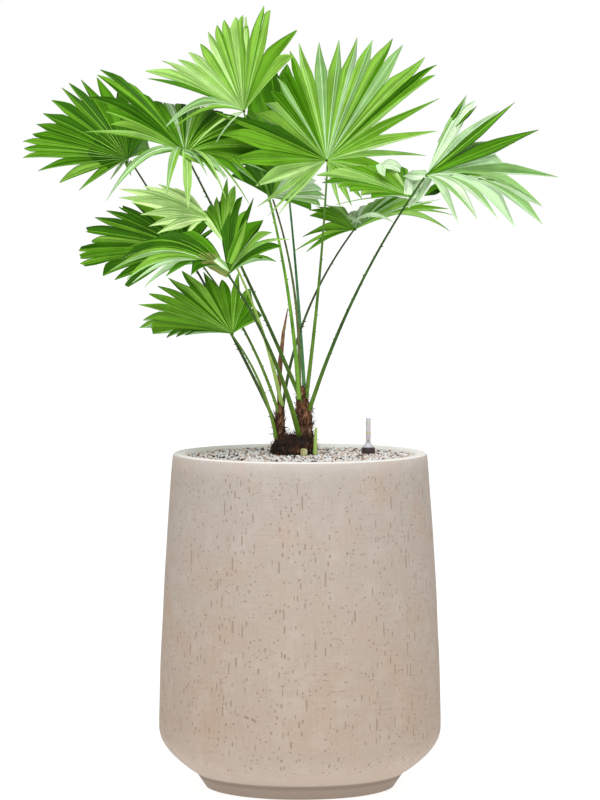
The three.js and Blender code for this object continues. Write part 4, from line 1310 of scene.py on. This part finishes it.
def buildStones(graph, source, given):
    # stones no nearer than a set distance, each turned, sized, lifted and coloured by chance
    points = graph.node("GeometryNodeDistributePointsOnFaces", {"distribute_method": "POISSON"}, {
        "Mesh": source, "Distance Min": given["Distance"], "Density Max": given["Density"],
        "Seed": given["Seed"]})
    ball = graph.node("GeometryNodeMeshIcoSphere", None, {"Radius": 1, "Subdivisions": 1})
    spin = graph.random("FLOAT_VECTOR", (0, 0, 0), (6.28, 6.28, 6.28), 1)
    facing = graph.node("FunctionNodeEulerToRotation", None, {0: spin})
    size = graph.scaled(graph.random("FLOAT_VECTOR", *gravel["stone"], 2), given["Size"])
    lift = graph.random("FLOAT", *gravel["lift"], 6)
    raised = graph.node("GeometryNodeTranslateInstances", None, {
        "Instances": graph.spread(points, ball, facing, size), "Local Space": False,
        "Translation": graph.combined(0, 0, lift)})
    kind = graph.random("INT", 0, len(stoneMaterials) - 1, 8)
    dealt = graph.node("GeometryNodeStoreNamedAttribute",
                       {"data_type": "INT", "domain": "INSTANCE"},
                       {"Geometry": raised, "Name": "kind", "Value": kind})
    rough = graph.shaken(graph.realized(dealt), *gravel["chipping"])
    for number, material in enumerate(stoneMaterials):
        same = graph.node("FunctionNodeCompare", {"data_type": "INT", "operation": "EQUAL"},
                          {2: graph.attribute("kind", "INT"), 3: number})
        rough = graph.painted(rough, material, same)
    return rough


def gravelDip(x, y):
    # how far the gravel lies below its level top, as in the CAD source
    nearness = ((math.hypot(x + 12, y - 29) - 46) / 26, (math.hypot(x - 124, y - 45) - 16) / 16,
                (198.2 - math.hypot(x, y)) / 10)
    ease = min(max(min(nearness), 0), 1)
    return gravel["dip"] * ease * (0.5 + 0.5 * math.sin(x / 12 + 1.6 * math.sin(y / 15)))


def gravelSurface(rings=40, sides=120):
    # the uneven top that the stones are scattered on
    places = []
    for r in [gravel["scatterRadius"] * i / rings for i in range(rings, 0, -1)]:
        for j in range(sides):
            angle = 2 * math.pi * j / sides
            x, y = r * math.cos(angle), r * math.sin(angle)
            bump = gravel["roughness"] * noise.noise(Vector((x, y, 0)) / 9)
            places.append((x, y, gravel["top"] - gravelDip(x, y) + bump))
    places.append((0, 0, gravel["top"]))
    faces = tubeFaces(rings - 1, sides, False)
    inner = (rings - 1) * sides
    faces += [(inner + j, inner + (j + 1) % sides, len(places) - 1) for j in range(sides)]
    return meshFrom("gravelSurface", places, faces)


stoneTree = makeTree("stones", {
    "Distance": "Float", "Density": "Float", "Size": "Float", "Seed": "Int"}, buildStones)
stones = grow("gravelStones", gravelSurface(), stoneTree, {
    "Distance": gravel["distance"], "Density": gravel["density"], "Size": gravel["size"],
    "Seed": 5})
finishPiece(stones, "gravel", "gravel")


def bedLook(graph):
    mask = graph.clamped(graph.noise(graph.place(), 500, 3), 0.4, 0.6)
    return {"Base Color": graph.mix(mask, colour("5e5254"), colour("c0b6b2")), "Roughness": 0.9}


bed = makeObject("gravelBed", turned("gravelBed", gravel["bed"], 96),
                 [makeMaterial("gravelBed", bedLook)])
finishPiece(bed, "gravel")
print("gravel:", len(stones.data.polygons))


# the water gauge
gauge = {
    "place": (124, 45), "sides": 40, "collar": 9.8, "shoulder": 8.6, "gap": 0.3,
    "marks": 2, "markGap": 15.6, "markBase": 17.6,
    "clearing": (0.6245, 0.6275), "clear": 0.5, "cloudy": 0.86,
}


def plainMaterial(name, text, roughness):
    def build(graph):
        speck = graph.noise(graph.place(), 700, 2)
        return {"Base Color": graph.mix(speck, colour(text, 0.93), colour(text, 1.05)),
                "Roughness": roughness}

    return makeMaterial(name, build)


def clearLook(graph):
    # clearer at the foot of the tube, where the float shows through
    rise = graph.clamped(graph.height(), *gauge["clearing"])
    return {
        "Base Color": colour("d8d4da"),
        "Roughness": 0.2,
        "Alpha": rise * (gauge["cloudy"] - gauge["clear"]) + gauge["clear"],
    }


def gaugePiece(name, base, material, slot, profile, *nodes):
    mesh = turned(name, profile, gauge["sides"])
    mesh.transform(Matrix.Translation(Vector((*gauge["place"], base)) * millimetre))
    smoothByAngle(mesh, 35)
    finishPiece(makeObject(name, mesh, [material]), slot, *nodes)


collarTop = foot + gauge["collar"]
tubeBase = collarTop + gauge["shoulder"] + 2 * gauge["gap"]
gaugePiece("gaugeCollar", foot, plainMaterial("darkPlastic", "3c2c30", 0.45), "dark_plastic",
           [(0, 0), (12.2, 0), (12.8, 0.5), (13, 1.5), (12.9, 3), (12.2, 8.6), (11.8, 9.5),
            (11.2, 9.8), (0, 9.8)], "gauge_collar")
gaugePiece("gaugeShoulder", collarTop + gauge["gap"],
           plainMaterial("frostedPlastic", "cfcdd4", 0.35), "clear_plastic",
           [(0, 0), (10.4, 0), (10.5, 0.8), (9.9, 2.3), (8.4, 4.3), (6.2, 6.4), (5.5, 7.6),
            (5.4, 8.6), (0, 8.6)], "gauge_shoulder")
gaugePiece("gaugeTube", tubeBase, makeMaterial("clearPlastic", clearLook), "clear_plastic",
           [(0, 0), (4.4, 0), (4.5, 0.4), (4.5, 42.6), (4.2, 43.6), (3.6, 44), (0, 44)],
           "gauge_tube")
gaugePiece("gaugeFloat", tubeBase + 2 * gauge["gap"], plainMaterial("redPlastic", "a01204", 0.35),
           "red_plastic",
           [(0, 0), (1.2, 0.25), (2.1, 1.2), (2.5, 2.5), (2.1, 3.8), (1.2, 4.75), (0, 5)],
           "gauge_float")
yellowPaint = plainMaterial("yellowPaint", "dcc83e", 0.5)
for number in range(gauge["marks"]):
    gaugePiece(f"gaugeMark{number + 1}",
               tubeBase + gauge["markBase"] + gauge["markGap"] * number, yellowPaint,
               "clear_plastic", [(0, 0), (4.58, 0), (4.58, 1.3), (0, 1.3)])
print("gauge")


# floor, surroundings and one soft lamp
stage = {
    "floor": "a6a6a6", "reach": 60, "fade": (0.3, 1.8), "near": 0.86, "far": 0.9,
    "band": (0.08, 0.25), "overhead": 0.42,
    "lampFrom": (0.0, -2.9, 4.4), "lampAim": (0, 0, 0.8), "lampSize": 2.6, "lampPower": 153,
}


def grey(value):
    return (value, value, value, 1)


def floorLook(graph):
    # plain paper near the pot, glowing white further off so that the horizon is lost
    away = graph.vector("LENGTH", graph.place(), out=1)
    glow = graph.clamped(away, *stage["fade"])
    return {
        "Base Color": colour(stage["floor"]),
        "Roughness": 1,
        "Specular IOR Level": 0,
        "Emission Color": graph.mix(glow, grey(stage["near"]), grey(stage["far"])),
        "Emission Strength": 1,
    }


reach = stage["reach"] / millimetre
floorMesh = meshFrom("floor", [(-reach, -reach, 0), (reach, -reach, 0), (reach, reach, 0),
                               (-reach, reach, 0)], [(0, 1, 2, 3)])
floor = makeObject("floor", floorMesh, [makeMaterial("floorPaper", floorLook)])

world = bpy.data.worlds.new("studio")
world.use_nodes = True
world.node_tree.nodes.clear()
sky = Graph(world.node_tree)
height = sky.node("ShaderNodeSeparateXYZ", None, {0: sky.node("ShaderNodeTexCoord")}, out=2)
backdrop = sky.mix(sky.clamped(height, *stage["band"]), grey(1), grey(stage["overhead"]))
background = sky.node("ShaderNodeBackground", None, {"Color": backdrop, "Strength": 1})
sky.node("ShaderNodeOutputWorld", None, {"Surface": background})
scene.world = world

lamp = bpy.data.lights.new("key", "AREA")
lamp.size = stage["lampSize"]
lamp.energy = stage["lampPower"]
lampHolder = bpy.data.objects.new("key", lamp)
lampHolder.location = stage["lampFrom"]
aim = Vector(stage["lampAim"]) - Vector(stage["lampFrom"])
lampHolder.rotation_euler = aim.to_track_quat("-Z", "Y").to_euler()
scene.collection.objects.link(lampHolder)
scene.view_settings.view_transform = "Standard"
